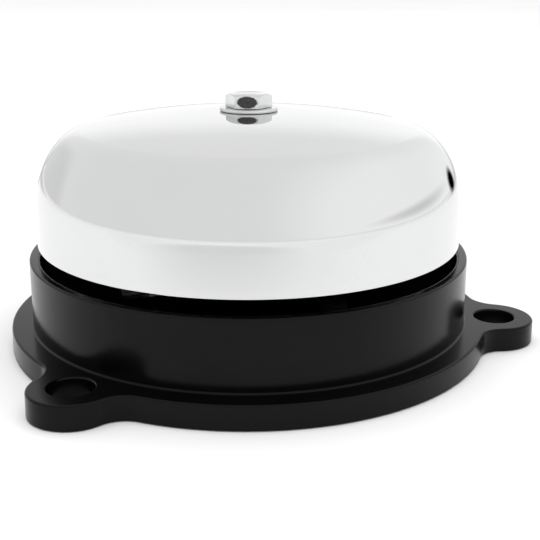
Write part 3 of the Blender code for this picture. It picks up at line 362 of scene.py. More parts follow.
@dataclass(frozen=True)
class FinishSet:
    """Every finish of the bell, by the slot that it fills."""

    finishes: tuple[Finish, ...] = (
        MouldedPlastic("black_plastic", (0.0012, 0.0012, 0.0011), (0.0024, 0.0024, 0.0022), (0.16, 0.25),
                       index=1.23),
        Finish("cover_board", (0.0006, 0.0006, 0.0006), (0.0012, 0.0012, 0.0012), (0.90, 1.0), index=1.05),
        Finish("black_oxide", (0.002, 0.002, 0.002), (0.004, 0.004, 0.004), (0.70, 0.85), index=1.10),
        PolishedChrome("chrome", (0.690, 0.695, 0.70), (0.715, 0.717, 0.72), (0.015, 0.045), 1.0),
        Finish("zinc_steel", ZINC_DARK, ZINC_LIGHT, (0.06, 0.13), 1.0, depth=0.01 * MM),
        BrushedSteel("sheet_steel", (0.42, 0.43, 0.44), (0.55, 0.56, 0.56), (0.30, 0.48), 1.0),
        Laminated("core_steel", (0.07, 0.07, 0.075), (0.30, 0.30, 0.31), (0.35, 0.55), 0.9),
        BrushedSteel("brass", (0.62, 0.43, 0.16), (0.78, 0.58, 0.26), (0.20, 0.34), 1.0),
        Finish("copper_wire", (0.38, 0.11, 0.03), (0.66, 0.26, 0.09), (0.18, 0.34), 0.85),
        Finish("nylon", (0.66, 0.63, 0.53), (0.80, 0.78, 0.70), (0.38, 0.52)),
        Finish("wrap_tape", (0.42, 0.27, 0.04), (0.62, 0.45, 0.10), (0.30, 0.50), grain=2200.0),
        Finish("fibre", (0.17, 0.05, 0.025), (0.30, 0.10, 0.05), (0.60, 0.80), depth=0.05 * MM),
        Finish("rubber", (0.015, 0.015, 0.015), (0.035, 0.034, 0.033), (0.65, 0.85), depth=0.04 * MM),
        Finish("lead_insulation", (0.36, 0.02, 0.015), (0.50, 0.04, 0.03), (0.35, 0.50)),
    )

    def make(self) -> dict[str, bpy.types.Material]:
        """Build every material."""
        return {finish.slot: finish.make() for finish in self.finishes}


# ---- outlines and solids ------------------------------------------------------------------

def arc(centre: Point, radius: float, start: float, end: float, count: int) -> list[Point]:
    """Points on an arc, both ends included."""
    step = (end - start) / (count - 1)
    return [(centre[0] + radius * math.cos(start + step * i),
             centre[1] + radius * math.sin(start + step * i)) for i in range(count)]


def sweep(centre: Point, radius: float, start: float, end: float, direction: int,
          count: int) -> list[Point]:
    """Arc from one angle to another, anticlockwise for +1 and clockwise for -1."""
    turn = (end - start) * direction % TURN
    return arc(centre, radius, start, start + direction * turn, count)


def rounded_path(corners: Sequence[Corner], closed: bool = True, count: int = 5) -> list[Point]:
    """Round the corners of a path.

    Args:
        corners: across, along and corner radius of each corner.
        closed: whether the last corner joins the first.
        count: points on each rounded corner.

    Returns:
        The points of the rounded path.
    """
    points: list[Point] = []
    total = len(corners)
    for index, (across, along, radius) in enumerate(corners):
        here = Vector((across, along))
        at_end = not closed and index in (0, total - 1)
        if radius <= 0.0 or at_end:
            points.append((across, along))
            continue
        back = (Vector(corners[index - 1][:2]) - here).normalized()
        ahead = (Vector(corners[(index + 1) % total][:2]) - here).normalized()
        half = back.angle(ahead) / 2
        middle = here + (back + ahead).normalized() * (radius / math.sin(half))
        first = here + back * (radius / math.tan(half)) - middle
        last = here + ahead * (radius / math.tan(half)) - middle
        start = math.atan2(first.y, first.x)
        swing = (math.atan2(last.y, last.x) - start + math.pi) % TURN - math.pi
        points += arc((middle.x, middle.y), radius, start, start + swing, count)
    return points


def new_piece(name: str, shape: bmesh.types.BMesh) -> bpy.types.Object:
    """Turn a bmesh into an object with its faces pointing out."""
    bmesh.ops.recalc_face_normals(shape, faces=shape.faces)
    mesh = bpy.data.meshes.new(name)
    shape.to_mesh(mesh)
    shape.free()
    piece = bpy.data.objects.new(name, mesh)
    bpy.context.scene.collection.objects.link(piece)
    return piece


def lathe(name: str, profile: Sequence[Point], centre: Sequence[float] = (0.0, 0.0, 0.0),
          axis: Axis = Axis.Z, closed: bool = True, steps: int = 64) -> bpy.types.Object:
    """Spin a profile about an axis.

    Args:
        name: the piece's name.
        profile: radius and height of each point.
        centre: the profile's origin.
        axis: the axis that heights run along.
        closed: whether the profile is a loop, not a line that ends on the axis.
        steps: facets round the axis.

    Returns:
        The turned piece.
    """
    shape = bmesh.new()
    verts = [shape.verts.new((radius, 0.0, height)) for radius, height in profile]
    pairs = list(zip(verts, verts[1:])) + ([(verts[-1], verts[0])] if closed else [])
    edges = [shape.edges.new(pair) for pair in pairs]
    bmesh.ops.spin(shape, geom=verts + edges, cent=(0, 0, 0), axis=(0, 0, 1), angle=TURN,
                   steps=steps, use_merge=True)
    bmesh.ops.remove_doubles(shape, verts=shape.verts, dist=0.0005 * MM)
    shape.transform(Matrix.Translation(Vector(centre)) @ axis.matrix())
    return new_piece(name, shape)


def prism(name: str, outline: Sequence[Point], low: float, high: float,
          axis: Axis = Axis.Z, bevel: float = 0.0) -> bpy.types.Object:
    """Give a flat outline a thickness, with its rims softened by a bevel."""
    shape = bmesh.new()
    face = shape.faces.new([shape.verts.new((x, y, low)) for x, y in outline])
    made = bmesh.ops.extrude_face_region(shape, geom=[face])
    top = [item for item in made["geom"] if isinstance(item, bmesh.types.BMVert)]
    bmesh.ops.translate(shape, verts=top, vec=(0.0, 0.0, high - low))
    if bevel > 0.0:
        bmesh.ops.recalc_face_normals(shape, faces=shape.faces)
        rims = [e for e in shape.edges if e.calc_face_angle(0.0) > math.radians(35.0)]
        bmesh.ops.bevel(shape, geom=rims, offset=bevel, segments=3, profile=0.5, affect="EDGES")
    shape.transform(axis.matrix())
    return new_piece(name, shape)


def block(name: str, low: Sequence[float], high: Sequence[float], bevel: float = 0.0) -> bpy.types.Object:
    """A box between two corners, with softened edges."""
    outline = [(low[0], low[1]), (high[0], low[1]), (high[0], high[1]), (low[0], high[1])]
    return prism(name, outline, low[2], high[2], bevel=bevel)


def shape_with(piece: bpy.types.Object, tool: bpy.types.Object, cut: Cut) -> bpy.types.Object:
    """Combine a piece with a tool solid, apply the result and delete the tool."""
    step = piece.modifiers.new("shape", "BOOLEAN")
    step.operation = cut.value
    step.solver = "EXACT"
    step.object = tool
    bpy.context.view_layer.update()
    seen = piece.evaluated_get(bpy.context.evaluated_depsgraph_get())
    mesh = bpy.data.meshes.new_from_object(seen)
    piece.modifiers.clear()
    old = piece.data
    piece.data = mesh
    mesh.name = piece.name
    bpy.data.meshes.remove(old)
    bpy.data.objects.remove(tool)
    return piece


def polish(piece: bpy.types.Object, angle: float = 32.0) -> bpy.types.Object:
    """Shade a piece smooth except at sharp edges, with flat faces kept flat."""
    piece.data.shade_smooth()
    piece.data.set_sharp_from_angle(angle=math.radians(angle))
    weigh = piece.modifiers.new("flat_faces", "WEIGHTED_NORMAL")
    weigh.keep_sharp = True
    return piece


def middle_of(node: str) -> Vector:
    """Centre of a CAD node's box."""
    low, high = (Vector(corner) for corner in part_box(node))
    return (low + high) / 2


def half_size(node: str) -> Vector:
    """Half the size of a CAD node's box."""
    low, high = (Vector(corner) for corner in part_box(node))
    return (high - low) / 2


class Workshop:
    """Dresses pieces: material, body, slot and the CAD nodes that they stand for."""

    def __init__(self) -> None:
        """Make the materials and note each node's slot and body."""
        self.materials = FinishSet().make()
        record = frame["record"]
        self.slots = {part["node"]: part["material_slot"] for part in record["subparts"]}
        self.bodies = {node: body for body, nodes in record["behaviour"]["bodies"].items() for node in nodes}
        self.made: set[str] = set()

    def dress(self, piece: bpy.types.Object, node: str, angle: float = 32.0) -> bpy.types.Object:
        """Finish a piece that stands for one CAD node.

        Args:
            piece: the piece, in place.
            node: the CAD node that it replaces.
            angle: edges sharper than this stay sharp, in degrees.

        Returns:
            The same piece.
        """
        slot = self.slots[node]
        if piece.type == "MESH":
            polish(piece, angle)
        piece.data.materials.clear()
        piece.data.materials.append(self.materials[slot])
        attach(piece, self.bodies[node])
        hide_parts(node)
        self.made.add(node)
        LOG.info("%s stands for %s", piece.name, node)
        return piece

    def dress_rest(self) -> None:
        """Give the CAD nodes that stay their material."""
        for node, obj in frame["nodes"].items():
            if node in self.made:
                continue
            obj.data.materials.clear()
            obj.data.materials.append(self.materials[self.slots[node]])
            LOG.info("%s keeps its CAD shape", node)


# ---- base ---------------------------------------------------------------------------------

@dataclass
class BaseHousing:
    """Moulded cup with its flange, three fixing lugs, screw bosses and cable inlet."""

    shop: Workshop
    flange_radius: float = 56.75 * MM
    flange_thickness: float = 5.5 * MM
    lug_pitch: float = 59.2 * MM
    lug_radius: float = 9.2 * MM
    lug_hole: float = 4.75 * MM
    lug_fillet: float = 6.5 * MM
    wall_radius: float = 51.8 * MM
    wall_thickness: float = 2.7 * MM
    floor: float = 3.0 * MM
    edge: float = 0.55 * MM
    draft: float = 0.1 * MM

    def build(self) -> None:
        """Make the base and stand it for its CAD node."""
        base = self.flange()
        middle = self.wall_radius - self.wall_thickness / 2
        reach = 4 * self.flange_thickness
        shape_with(base, lathe("flange_bore", [(0, -reach), (middle, -reach), (middle, reach), (0, reach)],
                               closed=False, steps=192), Cut.REMOVE)
        shape_with(base, self.cup(), Cut.JOIN)
        for angle in self.lug_angles():
            shape_with(base, self.hole_tool(angle), Cut.REMOVE)
        self.bosses(base)
        self.inlet(base)
        self.shop.dress(base, "base_housing", 38.0)

    def lug_angles(self) -> list[float]:
        """Directions of the three lugs, the first along +Y."""
        return [math.pi / 2 + TURN * index / 3 for index in range(3)]

    def outline(self, inset: float) -> list[Point]:
        """Edge of the flange with its lugs, moved in by an inset."""
        fillet = self.lug_fillet + inset
        end = self.lug_radius - inset
        rim = self.flange_radius - inset
        reach, span = rim + fillet, end + fillet
        spread = math.acos((reach ** 2 + self.lug_pitch ** 2 - span ** 2) / (2 * reach * self.lug_pitch))
        points: list[Point] = []
        for angle in self.lug_angles():
            lug = Vector((math.cos(angle), math.sin(angle))) * self.lug_pitch
            before = Vector((math.cos(angle - spread), math.sin(angle - spread))) * reach
            after = Vector((math.cos(angle + spread), math.sin(angle + spread))) * reach
            inward = math.atan2(*reversed(lug - before))
            leave = math.atan2(*reversed(after - lug))
            points += sweep(tuple(before), fillet, angle - spread + math.pi, inward, -1, 13)
            points += sweep(tuple(lug), end, inward + math.pi, leave, 1, 41)[1:-1]
            points += sweep(tuple(after), fillet, leave + math.pi, angle + spread + math.pi, -1, 13)
            following = angle + TURN / 3 - spread
            points += sweep((0.0, 0.0), rim, angle + spread, following, 1, 55)[1:-1]
        return points

    def flange(self) -> bpy.types.Object:
        """Flange plate lofted through its outline, with rounded upper and lower rims."""
        top, edge = self.flange_thickness, self.edge
        rows = [(edge * 0.6, 0.0)]
        rows += [(edge * 0.6 * (1 - math.sin(a)), edge * 0.6 * (1 - math.cos(a)))
                 for a in (math.pi / 6, math.pi / 3, math.pi / 2)]
        rows.append((self.draft, top - edge))
        rows += [(self.draft + edge * (1 - math.cos(a)), top - edge * (1 - math.sin(a)))
                 for a in (math.pi / 8, math.pi / 4, 3 * math.pi / 8, math.pi / 2)]
        shape = bmesh.new()
        rings = [[shape.verts.new((x, y, height)) for x, y in self.outline(inset)] for inset, height in rows]
        for lower, upper in zip(rings, rings[1:]):
            for index in range(len(lower)):
                after = (index + 1) % len(lower)
                shape.faces.new((lower[index], lower[after], upper[after], upper[index]))
        shape.faces.new(rings[0])
        shape.faces.new(rings[-1])
        return new_piece("base_shell", shape)

    def cup(self) -> bpy.types.Object:
        """Wall and floor as one turned solid, with a soft lip and a small fillet at its foot."""
        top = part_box("base_housing")[1][2]
        inner = self.wall_radius - self.wall_thickness
        foot = self.flange_thickness
        corners = [(self.wall_radius, foot + 0.5 * MM, 0.0), (self.wall_radius - self.draft, top, 0.5 * MM),
                   (inner + self.draft, top, 0.9 * MM), (inner, self.floor, 1.0 * MM), (0.0, self.floor, 0.0),
                   (0.0, 0.0, 0.0), (self.wall_radius + 0.5 * MM, 0.0, 0.0)]
        corners.append((self.wall_radius + 0.5 * MM, foot - 0.05 * MM, 0.0))
        foot_curve = arc((self.wall_radius + 0.5 * MM, foot + 0.5 * MM), 0.5 * MM, -math.pi / 2, -math.pi, 5)
        profile = rounded_path(corners, closed=False, count=6)
        return lathe("base_cup", profile[1:] + foot_curve, steps=192)

    def hole_tool(self, angle: float) -> bpy.types.Object:
        """Cutter for a lug hole, flared at both faces so that the hole's rims are rounded."""
        flare, top, radius = 0.45 * MM, self.flange_thickness, self.lug_hole
        profile = [(0.0, -2 * MM), (radius + flare, -2 * MM), (radius + flare, 0.0)]
        profile += arc((radius + flare, flare), flare, -math.pi / 2, -math.pi, 4)[1:]
        profile += arc((radius + flare, top - flare), flare, math.pi, math.pi / 2, 4)
        profile += [(radius + flare, top + 2 * MM), (0.0, top + 2 * MM)]
        centre = (self.lug_pitch * math.cos(angle), self.lug_pitch * math.sin(angle), 0.0)
        return lathe("lug_hole", profile, centre, closed=False, steps=72)

    def bosses(self, base: bpy.types.Object) -> None:
        """Screw bosses for the chassis and pillars for the cover."""
        shank = 1.8 * MM
        seats = [(f"chassis_screw_{n}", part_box("chassis_plate")[0][2]) for n in range(1, 5)]
        seats += [(f"cover_screw_{n}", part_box("mechanism_cover")[0][2]) for n in range(1, 4)]
        for node, level in seats:
            spot = middle_of(node)
            top = level - CLEARANCE
            corners = [(0.0, self.floor / 2, 0.0), (4.3 * MM, self.floor / 2, 0.0),
                       (4.0 * MM, top, 0.3 * MM), (0.0, top, 0.0)]
            boss = lathe("boss", rounded_path(corners, False), (spot.x, spot.y, 0.0), closed=False, steps=40)
            shape_with(base, boss, Cut.JOIN)
            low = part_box(node)[0][2] - 0.4 * MM
            bore = [(0.0, low), (shank, low + 0.5 * MM), (shank, top - 0.4 * MM),
                    (shank + 0.5 * MM, top + 0.1 * MM), (shank + 0.5 * MM, top + 2 * MM), (0.0, top + 2 * MM)]
            tool = lathe("boss_bore", bore, (spot.x, spot.y, 0.0), closed=False, steps=32)
            shape_with(base, tool, Cut.REMOVE)

    def inlet(self, base: bpy.types.Object) -> None:
        """Stepped hole for the cable grommet."""
        spot = middle_of("cable_grommet")
        lip = half_size("cable_grommet").x + CLEARANCE
        neck = lip - 2.3 * MM
        profile = [(0.0, -MM), (lip, -MM), (lip, self.floor / 2), (neck, self.floor / 2),
                   (neck, self.floor + MM), (0.0, self.floor + MM)]
        tool = lathe("inlet", profile, (spot.x, spot.y, 0.0), closed=False, steps=64)
        shape_with(base, tool, Cut.REMOVE)


@dataclass
class Grommet:
    """Rubber cable grommet, clipped into the floor."""

    shop: Workshop
    bore: float = 3.5 * MM
    wall: float = 1.7 * MM
    floor: float = BaseHousing.floor
    gap: float = 0.05 * MM

    def build(self) -> None:
        """Make the grommet and stand it for its CAD node."""
        low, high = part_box("cable_grommet")
        spot = middle_of("cable_grommet")
        lip = half_size("cable_grommet").x
        neck = self.bore + self.wall + 0.2 * MM
        upper, lower = self.floor + self.gap, self.floor / 2 - self.gap
        corners = [(self.bore, high[2], 0.5 * MM), (lip, high[2], 0.9 * MM), (lip, upper, 0.0),
                   (neck, upper, 0.0), (neck, lower, 0.0), (lip, lower, 0.0), (lip, low[2], 0.4 * MM),
                   (self.bore, low[2], 0.5 * MM)]
        piece = lathe("inlet_grommet", rounded_path(corners), (spot.x, spot.y, 0.0), steps=72)
        self.shop.dress(piece, "cable_grommet")


# ---- gong ---------------------------------------------------------------------------------

@dataclass
class Gong:
    """Spun sheet gong with a soft rolled rim and a punched bolt hole."""

    shop: Workshop
    radius: float = 49.6 * MM
    sheet: float = 1.0 * MM
    skirt: float = 9.3 * MM
    shoulder: float = 19.8 * MM
    shoulder_sweep: float = math.radians(46.0)
    brow: float = 9.7 * MM
    crown: float = 200.0 * MM
    flat: float = 9.5 * MM
    bolt_hole: float = 3.3 * MM

    def build(self) -> None:
        """Make the gong and stand it for its CAD node."""
        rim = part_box("gong")[0][2]
        outer, inner = self.section(rim, 0.0), self.section(rim, self.sheet)
        edge = self.sheet / 2
        lip = arc((self.radius - edge, rim + edge), edge, 0.0, -math.pi, 9)
        profile = [(self.bolt_hole, outer[0][1])] + outer + lip + inner[::-1]
        profile.append((self.bolt_hole, inner[0][1]))
        piece = lathe("gong_dome", profile, steps=288)
        self.shop.dress(piece, "gong", 50.0)

    def section(self, rim: float, offset: float) -> list[Point]:
        """Section of one face of the sheet, from the crown to just above the rim."""
        foot = (self.radius - self.shoulder, rim + self.skirt)
        span = self.shoulder - self.brow
        brow = (foot[0] + span * math.cos(self.shoulder_sweep),
                foot[1] + span * math.sin(self.shoulder_sweep))
        below = brow[1] - math.sqrt((self.crown - self.brow) ** 2 - brow[0] ** 2)
        meeting = math.atan2(brow[1] - below, brow[0])
        flat = math.acos(self.flat / self.crown)
        points = arc((0.0, below), self.crown - offset, flat, meeting, 14)
        points += arc(brow, self.brow - offset, meeting, self.shoulder_sweep, 16)[1:]
        points += arc(foot, self.shoulder - offset, self.shoulder_sweep, 0.0, 20)[1:]
        straight = 6
        drop = (self.skirt - self.sheet) / straight
        points += [(self.radius - offset, foot[1] - drop * step) for step in range(1, straight)]
        return points


@dataclass
class GongFixing:
    """Hex bolt, washer, fibre seat and the post that carries the gong."""

    shop: Workshop
    across_flats: float = 9.5 * MM
    head_turn: float = math.radians(32.0)
    # bearing of the head flat that gets the painted dark reflection
    painted_reflection_flat: float = math.radians(-118.0)
    shank: float = 3.0 * MM
    hole: float = Gong.bolt_hole
    settle: float = 0.2 * MM

    def build(self) -> None:
        """Make the four pieces."""
        self.bolt()
        self.washer()
        self.seat()
        self.post()

    def bolt(self) -> None:
        """Hex head with a chamfered, slightly dished top, on a threaded shank."""
        low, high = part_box("gong_bolt")
        head_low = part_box("gong_washer")[1][2] - self.settle + 0.05 * MM
        corner = self.across_flats / math.sqrt(3)
        outline = [(corner * math.cos(self.head_turn + TURN * k / 6),
                    corner * math.sin(self.head_turn + TURN * k / 6)) for k in range(6)]
        head = prism("crown_bolt", outline, head_low, high[2], bevel=0.12 * MM)
        crown = self.across_flats * 0.47
        slope = math.tan(math.radians(30.0))
        far = corner * 1.2
        drop = (far - crown) * slope
        dome = [(0.0, high[2] - 0.12 * MM), (crown * 0.72, high[2] - 0.12 * MM), (crown * 0.8, high[2]),
                (crown - 0.15 * MM, high[2]), (crown + 0.15 * MM, high[2] - 0.09 * MM), (far, high[2] - drop),
                (far, head_low + 0.4 * MM), (corner * 0.93, head_low - MM), (0.0, head_low - MM)]
        shape_with(head, lathe("head_turning", dome, closed=False, steps=96), Cut.KEEP)
        thread = self.thread(low[2], head_low - 0.6 * MM)
        shape_with(head, thread, Cut.JOIN)
        self.shop.dress(head, "gong_bolt", 22.0)
        # the flat facing the camera is painted with a dark oval reflection
        painted_reflection = ZincWithPaintedReflection("bolt_steel", ZINC_DARK, ZINC_LIGHT, (0.05, 0.10), 1.0, depth=0.01 * MM,
                        bearing=self.painted_reflection_flat, level=(head_low + high[2]) / 2 - 0.05 * MM)
        head.data.materials[0] = painted_reflection.make()

    def thread(self, low: float, high: float) -> bpy.types.Object:
        """Shank whose lower part has the ridges of a coarse thread."""
        pitch, depth = 1.0 * MM, 0.5 * MM
        profile: list[Point] = [(0.0, low), (self.shank - depth, low)]
        turns = int((high - low) / pitch) - 1
        for index in range(turns):
            start = low + 0.3 * MM + index * pitch
            profile += [(self.shank - depth, start), (self.shank, start + pitch * 0.42),
                        (self.shank, start + pitch * 0.58)]
        profile += [(self.shank - depth, low + 0.3 * MM + turns * pitch), (self.shank, high),
                    (self.shank, high + MM), (0.0, high + MM)]
        return lathe("thread", profile, closed=False, steps=64)

    def washer(self) -> None:
        """Flat washer with a rounded upper rim."""
        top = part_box("gong_washer")[1][2] - self.settle
        radius = half_size("gong_washer").x
        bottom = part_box("gong")[1][2] + 0.04 * MM
        corners = [(self.hole, top, 0.1 * MM), (radius, top, 0.42 * MM), (radius, bottom, 0.3 * MM),
                   (self.hole, bottom, 0.1 * MM)]
        self.shop.dress(lathe("crown_washer", rounded_path(corners), steps=128), "gong_washer")

    def seat(self) -> None:
        """Fibre washer under the crown."""
        low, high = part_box("gong_seat_washer")
        radius = half_size("gong_seat_washer").x
        corners = [(self.hole, high[2], 0.1 * MM), (radius, high[2], 0.2 * MM), (radius, low[2], 0.2 * MM),
                   (self.hole, low[2], 0.1 * MM)]
        self.shop.dress(lathe("seat_ring", rounded_path(corners), steps=96), "gong_seat_washer")

    def post(self) -> None:
        """Turned post, riveted to the chassis and tapped at its top."""
        low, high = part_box("centre_post")
        radius = half_size("centre_post").x
        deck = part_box("armature")[0][2]
        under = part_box("chassis_plate")[0][2] - CLEARANCE
        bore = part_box("gong_bolt")[0][2] - MM
        corners = [(0.0, bore, 0.0), (self.hole, bore + 0.6 * MM, 0.0), (self.hole, high[2], 0.3 * MM),
                   (radius, high[2], 0.5 * MM), (radius, deck, 0.3 * MM), (radius * 0.6, deck, 0.0),
                   (radius * 0.6, under, 0.0), (radius * 0.9, under, 0.3 * MM),
                   (radius * 0.9, low[2], 0.7 * MM), (0.0, low[2], 0.0)]
        piece = lathe("gong_post", rounded_path(corners, False), closed=False, steps=72)
        self.shop.dress(piece, "centre_post")


# ---- fasteners ----------------------------------------------------------------------------

@dataclass
class SlottedScrew:
    """Cheese-head screw with a driver slot, a chamfered rim and thread ridges."""

    shop: Workshop
    node: str
    axis: Axis = Axis.Z
    head_height: float = 1.8 * MM
    shank: float = 1.5 * MM
    pitch: float = 0.5 * MM
    slot: float = 0.8 * MM
    fullness: float = 1.025

    def build(self) -> None:
        """Make the screw on its CAD node's place."""
        low, high = (Vector(corner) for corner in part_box(self.node))
        centre = middle_of(self.node)
        along = {Axis.X: 0, Axis.Z: 2}[self.axis]
        radius = half_size(self.node).y * self.fullness
        top = high[along]
        seat = top - self.head_height
        base = centre.copy()
        base[along] = 0.0
        profile = rounded_path([(0.0, top, 0.0), (radius * 0.9, top, 0.2 * MM),
                                (radius, top - 0.5 * MM, 0.2 * MM), (radius, seat, 0.15 * MM),
                                (self.shank, seat, 0.0)], False)
        profile.append((self.shank, seat - 0.5 * MM))
        depth = 0.25 * MM
        turns = int((seat - low[along] - 1.0 * MM) / self.pitch)
        for index in range(turns):
            level = seat - 0.5 * MM - index * self.pitch
            profile += [(self.shank - depth, level - self.pitch / 2), (self.shank, level - self.pitch)]
        profile += [(self.shank - depth, low[along] + 0.1 * MM), (self.shank - 2 * depth, low[along]),
                    (0.0, low[along])]
        piece = lathe(f"{self.node}_turned", profile, base, self.axis, closed=False, steps=48)
        half = self.slot / 2
        if self.axis is Axis.Z:
            tool = block("driver_slot", (centre.x - 2 * radius, centre.y - half, top - self.slot),
                         (centre.x + 2 * radius, centre.y + half, top + MM))
        else:
            tool = block("driver_slot", (top - self.slot, centre.y - 2 * radius, centre.z - half),
                         (top + MM, centre.y + 2 * radius, centre.z + half))
        shape_with(piece, tool, Cut.REMOVE)
        self.shop.dress(piece, self.node)


@dataclass
class HexNut:
    """Hexagon nut with chamfered corners."""

    shop: Workshop
    node: str
    bore: float
    across_flats: float

    def build(self) -> None:
        """Make the nut on its CAD node's place."""
        low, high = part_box(self.node)
        centre = middle_of(self.node)
        corner = self.across_flats / math.sqrt(3)
        outline = [(corner * math.cos(TURN * (k + 0.5) / 6), corner * math.sin(TURN * (k + 0.5) / 6))
                   for k in range(6)]
        thickness = high[0] - low[0]
        piece = prism(f"{self.node}_hexagon", outline, 0.0, thickness, Axis.X)
        piece.data.transform(Matrix.Translation((low[0], centre.y, centre.z)))
        chamfer = 0.3 * MM
        flat = self.across_flats / 2
        keep = [(self.bore, chamfer), (self.bore + chamfer, 0.0), (flat * 0.98, 0.0),
                (corner * 1.1, chamfer * 1.4), (corner * 1.1, thickness - chamfer * 1.4),
                (flat * 0.98, thickness), (self.bore + chamfer, thickness), (self.bore, thickness - chamfer)]
        turning = lathe("nut_turning", keep, (low[0], centre.y, centre.z), Axis.X, steps=48)
        shape_with(piece, turning, Cut.KEEP)
        self.shop.dress(piece, self.node, 25.0)


@dataclass
class TurnedPart:
    """A plain ring or pin with softened rims, on its CAD node's place."""

    shop: Workshop
    node: str
    axis: Axis
    bore: float = 0.0
    edge: float = 0.15 * MM

    def build(self) -> None:
        """Make the piece on its CAD node's box."""
        low, high = (Vector(corner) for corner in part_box(self.node))
        centre = middle_of(self.node)
        along = {Axis.X: 0, Axis.Y: 1, Axis.Z: 2}[self.axis]
        across = 2 if self.axis is not Axis.Z else 0
        radius = half_size(self.node)[across]
        base = centre.copy()
        base[along] = 0.0
        bottom, top = low[along], high[along]
        corners = [(self.bore, top, 0.0), (radius, top, self.edge), (radius, bottom, self.edge),
                   (self.bore, bottom, 0.0)]
        closed = self.bore > 0.0
        profile = rounded_path(corners, closed)
        self.shop.dress(lathe(f"{self.node}_turned", profile, base, self.axis, closed, 56), self.node)


# ---- magnet and striker -------------------------------------------------------------------

@dataclass
class Coil:
    """One magnet coil's enamelled winding and tape wrap."""

    shop: Workshop
    side: str
    wire: float = 0.5 * MM

    def build(self) -> None:
        """Make the winding and its wrap."""
        self.winding()
        self.wrap()

    def winding(self) -> None:
        """Winding whose outer layer shows its separate turns."""
        node = f"coil_winding_{self.side}"
        low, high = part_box(node)
        centre = middle_of(node)
        outer = half_size(node).z
        inner = outer - 1.0 * MM - 2 * self.wire
        turns = int((high[0] - low[0]) / self.wire)
        pitch = (high[0] - low[0]) / turns
        profile = [(inner, low[0])]
        for index in range(turns):
            middle = low[0] + pitch * (index + 0.5)
            profile += [(outer - pitch / 2 + radius, height) for radius, height in
                        [(pitch / 2 * math.sin(a), middle - pitch / 2 * math.cos(a)) for a in
                         (math.pi / 6, math.pi / 3, math.pi / 2, 2 * math.pi / 3, 5 * math.pi / 6)]]
        profile.append((inner, high[0]))
        piece = lathe(f"{node}_turns", profile, (0.0, centre.y, centre.z), Axis.X, steps=56)
        self.shop.dress(piece, node, 60.0)

    def wrap(self) -> None:
        """Tape round the winding, wound with a lapped edge."""
        node = f"coil_wrap_{self.side}"
        low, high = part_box(node)
        centre = middle_of(node)
        outer = half_size(node).z
        step = 0.06 * MM
        laps = 3
        width = (high[0] - low[0]) / laps
        profile = [(outer - 0.35 * MM, low[0])]
        for index in range(laps):
            start = low[0] + width * index
            profile += [(outer - step, start), (outer, start + width * 0.5),
                        (outer - step * 0.2, start + width)]
        profile.append((outer - 0.35 * MM, high[0]))
        piece = lathe(f"{node}_laps", profile, (0.0, centre.y, centre.z), Axis.X, steps=72)
        self.shop.dress(piece, node, 40.0)


@dataclass
class Striker:
    """Rod, brass striker and nuts that swing with the armature."""

    shop: Workshop
    bore: float = 1.55 * MM
    nut_flats: float = 5.0 * MM

    def build(self) -> None:
        """Make the moving pieces."""
        TurnedPart(self.shop, "striker_rod", Axis.X, edge=0.25 * MM).build()
        self.head()
        for node in ("rod_nut_front", "rod_nut_back"):
            HexNut(self.shop, node, self.bore, self.nut_flats).build()

    def head(self) -> None:
        """Brass striker with a domed nose, a waist groove and a bore for the rod."""
        low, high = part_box("striker_head")
        centre = middle_of("striker_head")
        radius = half_size("striker_head").z
        length = high[0] - low[0]
        depth = length * 0.35 - CLEARANCE
        nose = [(0.0, 0.0)] + [(radius * math.sin(a), radius * 0.45 * (1 - math.cos(a)))
                               for a in (0.35, 0.7, 1.0, 1.25, 1.45)]
        body = rounded_path([(radius, radius * 0.45, 0.0), (radius, length * 0.62, 0.2 * MM),
                             (radius * 0.9, length * 0.66, 0.2 * MM), (radius * 0.9, length * 0.72, 0.2 * MM),
                             (radius, length * 0.76, 0.2 * MM), (radius, length, 0.5 * MM),
                             (self.bore, length, 0.2 * MM), (self.bore, depth, 0.0), (0.0, depth, 0.0)],
                            False)
        base = (low[0], centre.y, centre.z)
        piece = lathe("striker_hammer", nose + body, base, Axis.X, closed=False, steps=72)
        self.shop.dress(piece, "striker_head")


@dataclass
class ReturnSpring:
    """Torsion spring wound round the pivot pin, with a leg on the armature and one on the chassis."""

    shop: Workshop
    pin: float = 1.0 * MM
    wire: float = 0.3 * MM
    slack: float = 0.2 * MM
    plate_half: float = 1.0 * MM
    swing_room: float = 0.7 * MM
    turns: float = 3.75
    per_turn: int = 28

    def build(self) -> None:
        """Make the spring as a round wire."""
        low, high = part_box("return_spring")
        pivot = frame["joints"][0]["pos_m"]
        radius = self.pin + CLEARANCE + self.wire + self.slack
        start = low[1] + self.wire
        pitch = 2 * self.wire + 0.15 * MM
        coil = []
        for index in range(int(self.per_turn * self.turns) + 1):
            angle = math.pi - TURN * index / self.per_turn
            coil.append((pivot[0] + radius * math.cos(angle), start + pitch * index / self.per_turn,
                         pivot[2] + radius * math.sin(angle)))
        plate_front = pivot[0] - self.plate_half
        up_leg = (plate_front - self.swing_room - self.wire, start, high[2] - self.wire)
        down_leg = (low[0] + 0.02 * MM, coil[-1][1], coil[-1][2])
        points = [up_leg] + coil[1:] + [down_leg]
        curve = bpy.data.curves.new("spring_wire", "CURVE")
        curve.dimensions = "3D"
        curve.bevel_depth = self.wire
        curve.bevel_resolution = 4
        curve.use_fill_caps = True
        line = curve.splines.new("POLY")
        line.points.add(len(points) - 1)
        for point, spot in zip(line.points, points):
            point.co = (*spot, 1.0)
        piece = bpy.data.objects.new("spring_wire", curve)
        bpy.context.scene.collection.objects.link(piece)
        self.shop.dress(piece, "return_spring")


# ---- studio -------------------------------------------------------------------------------

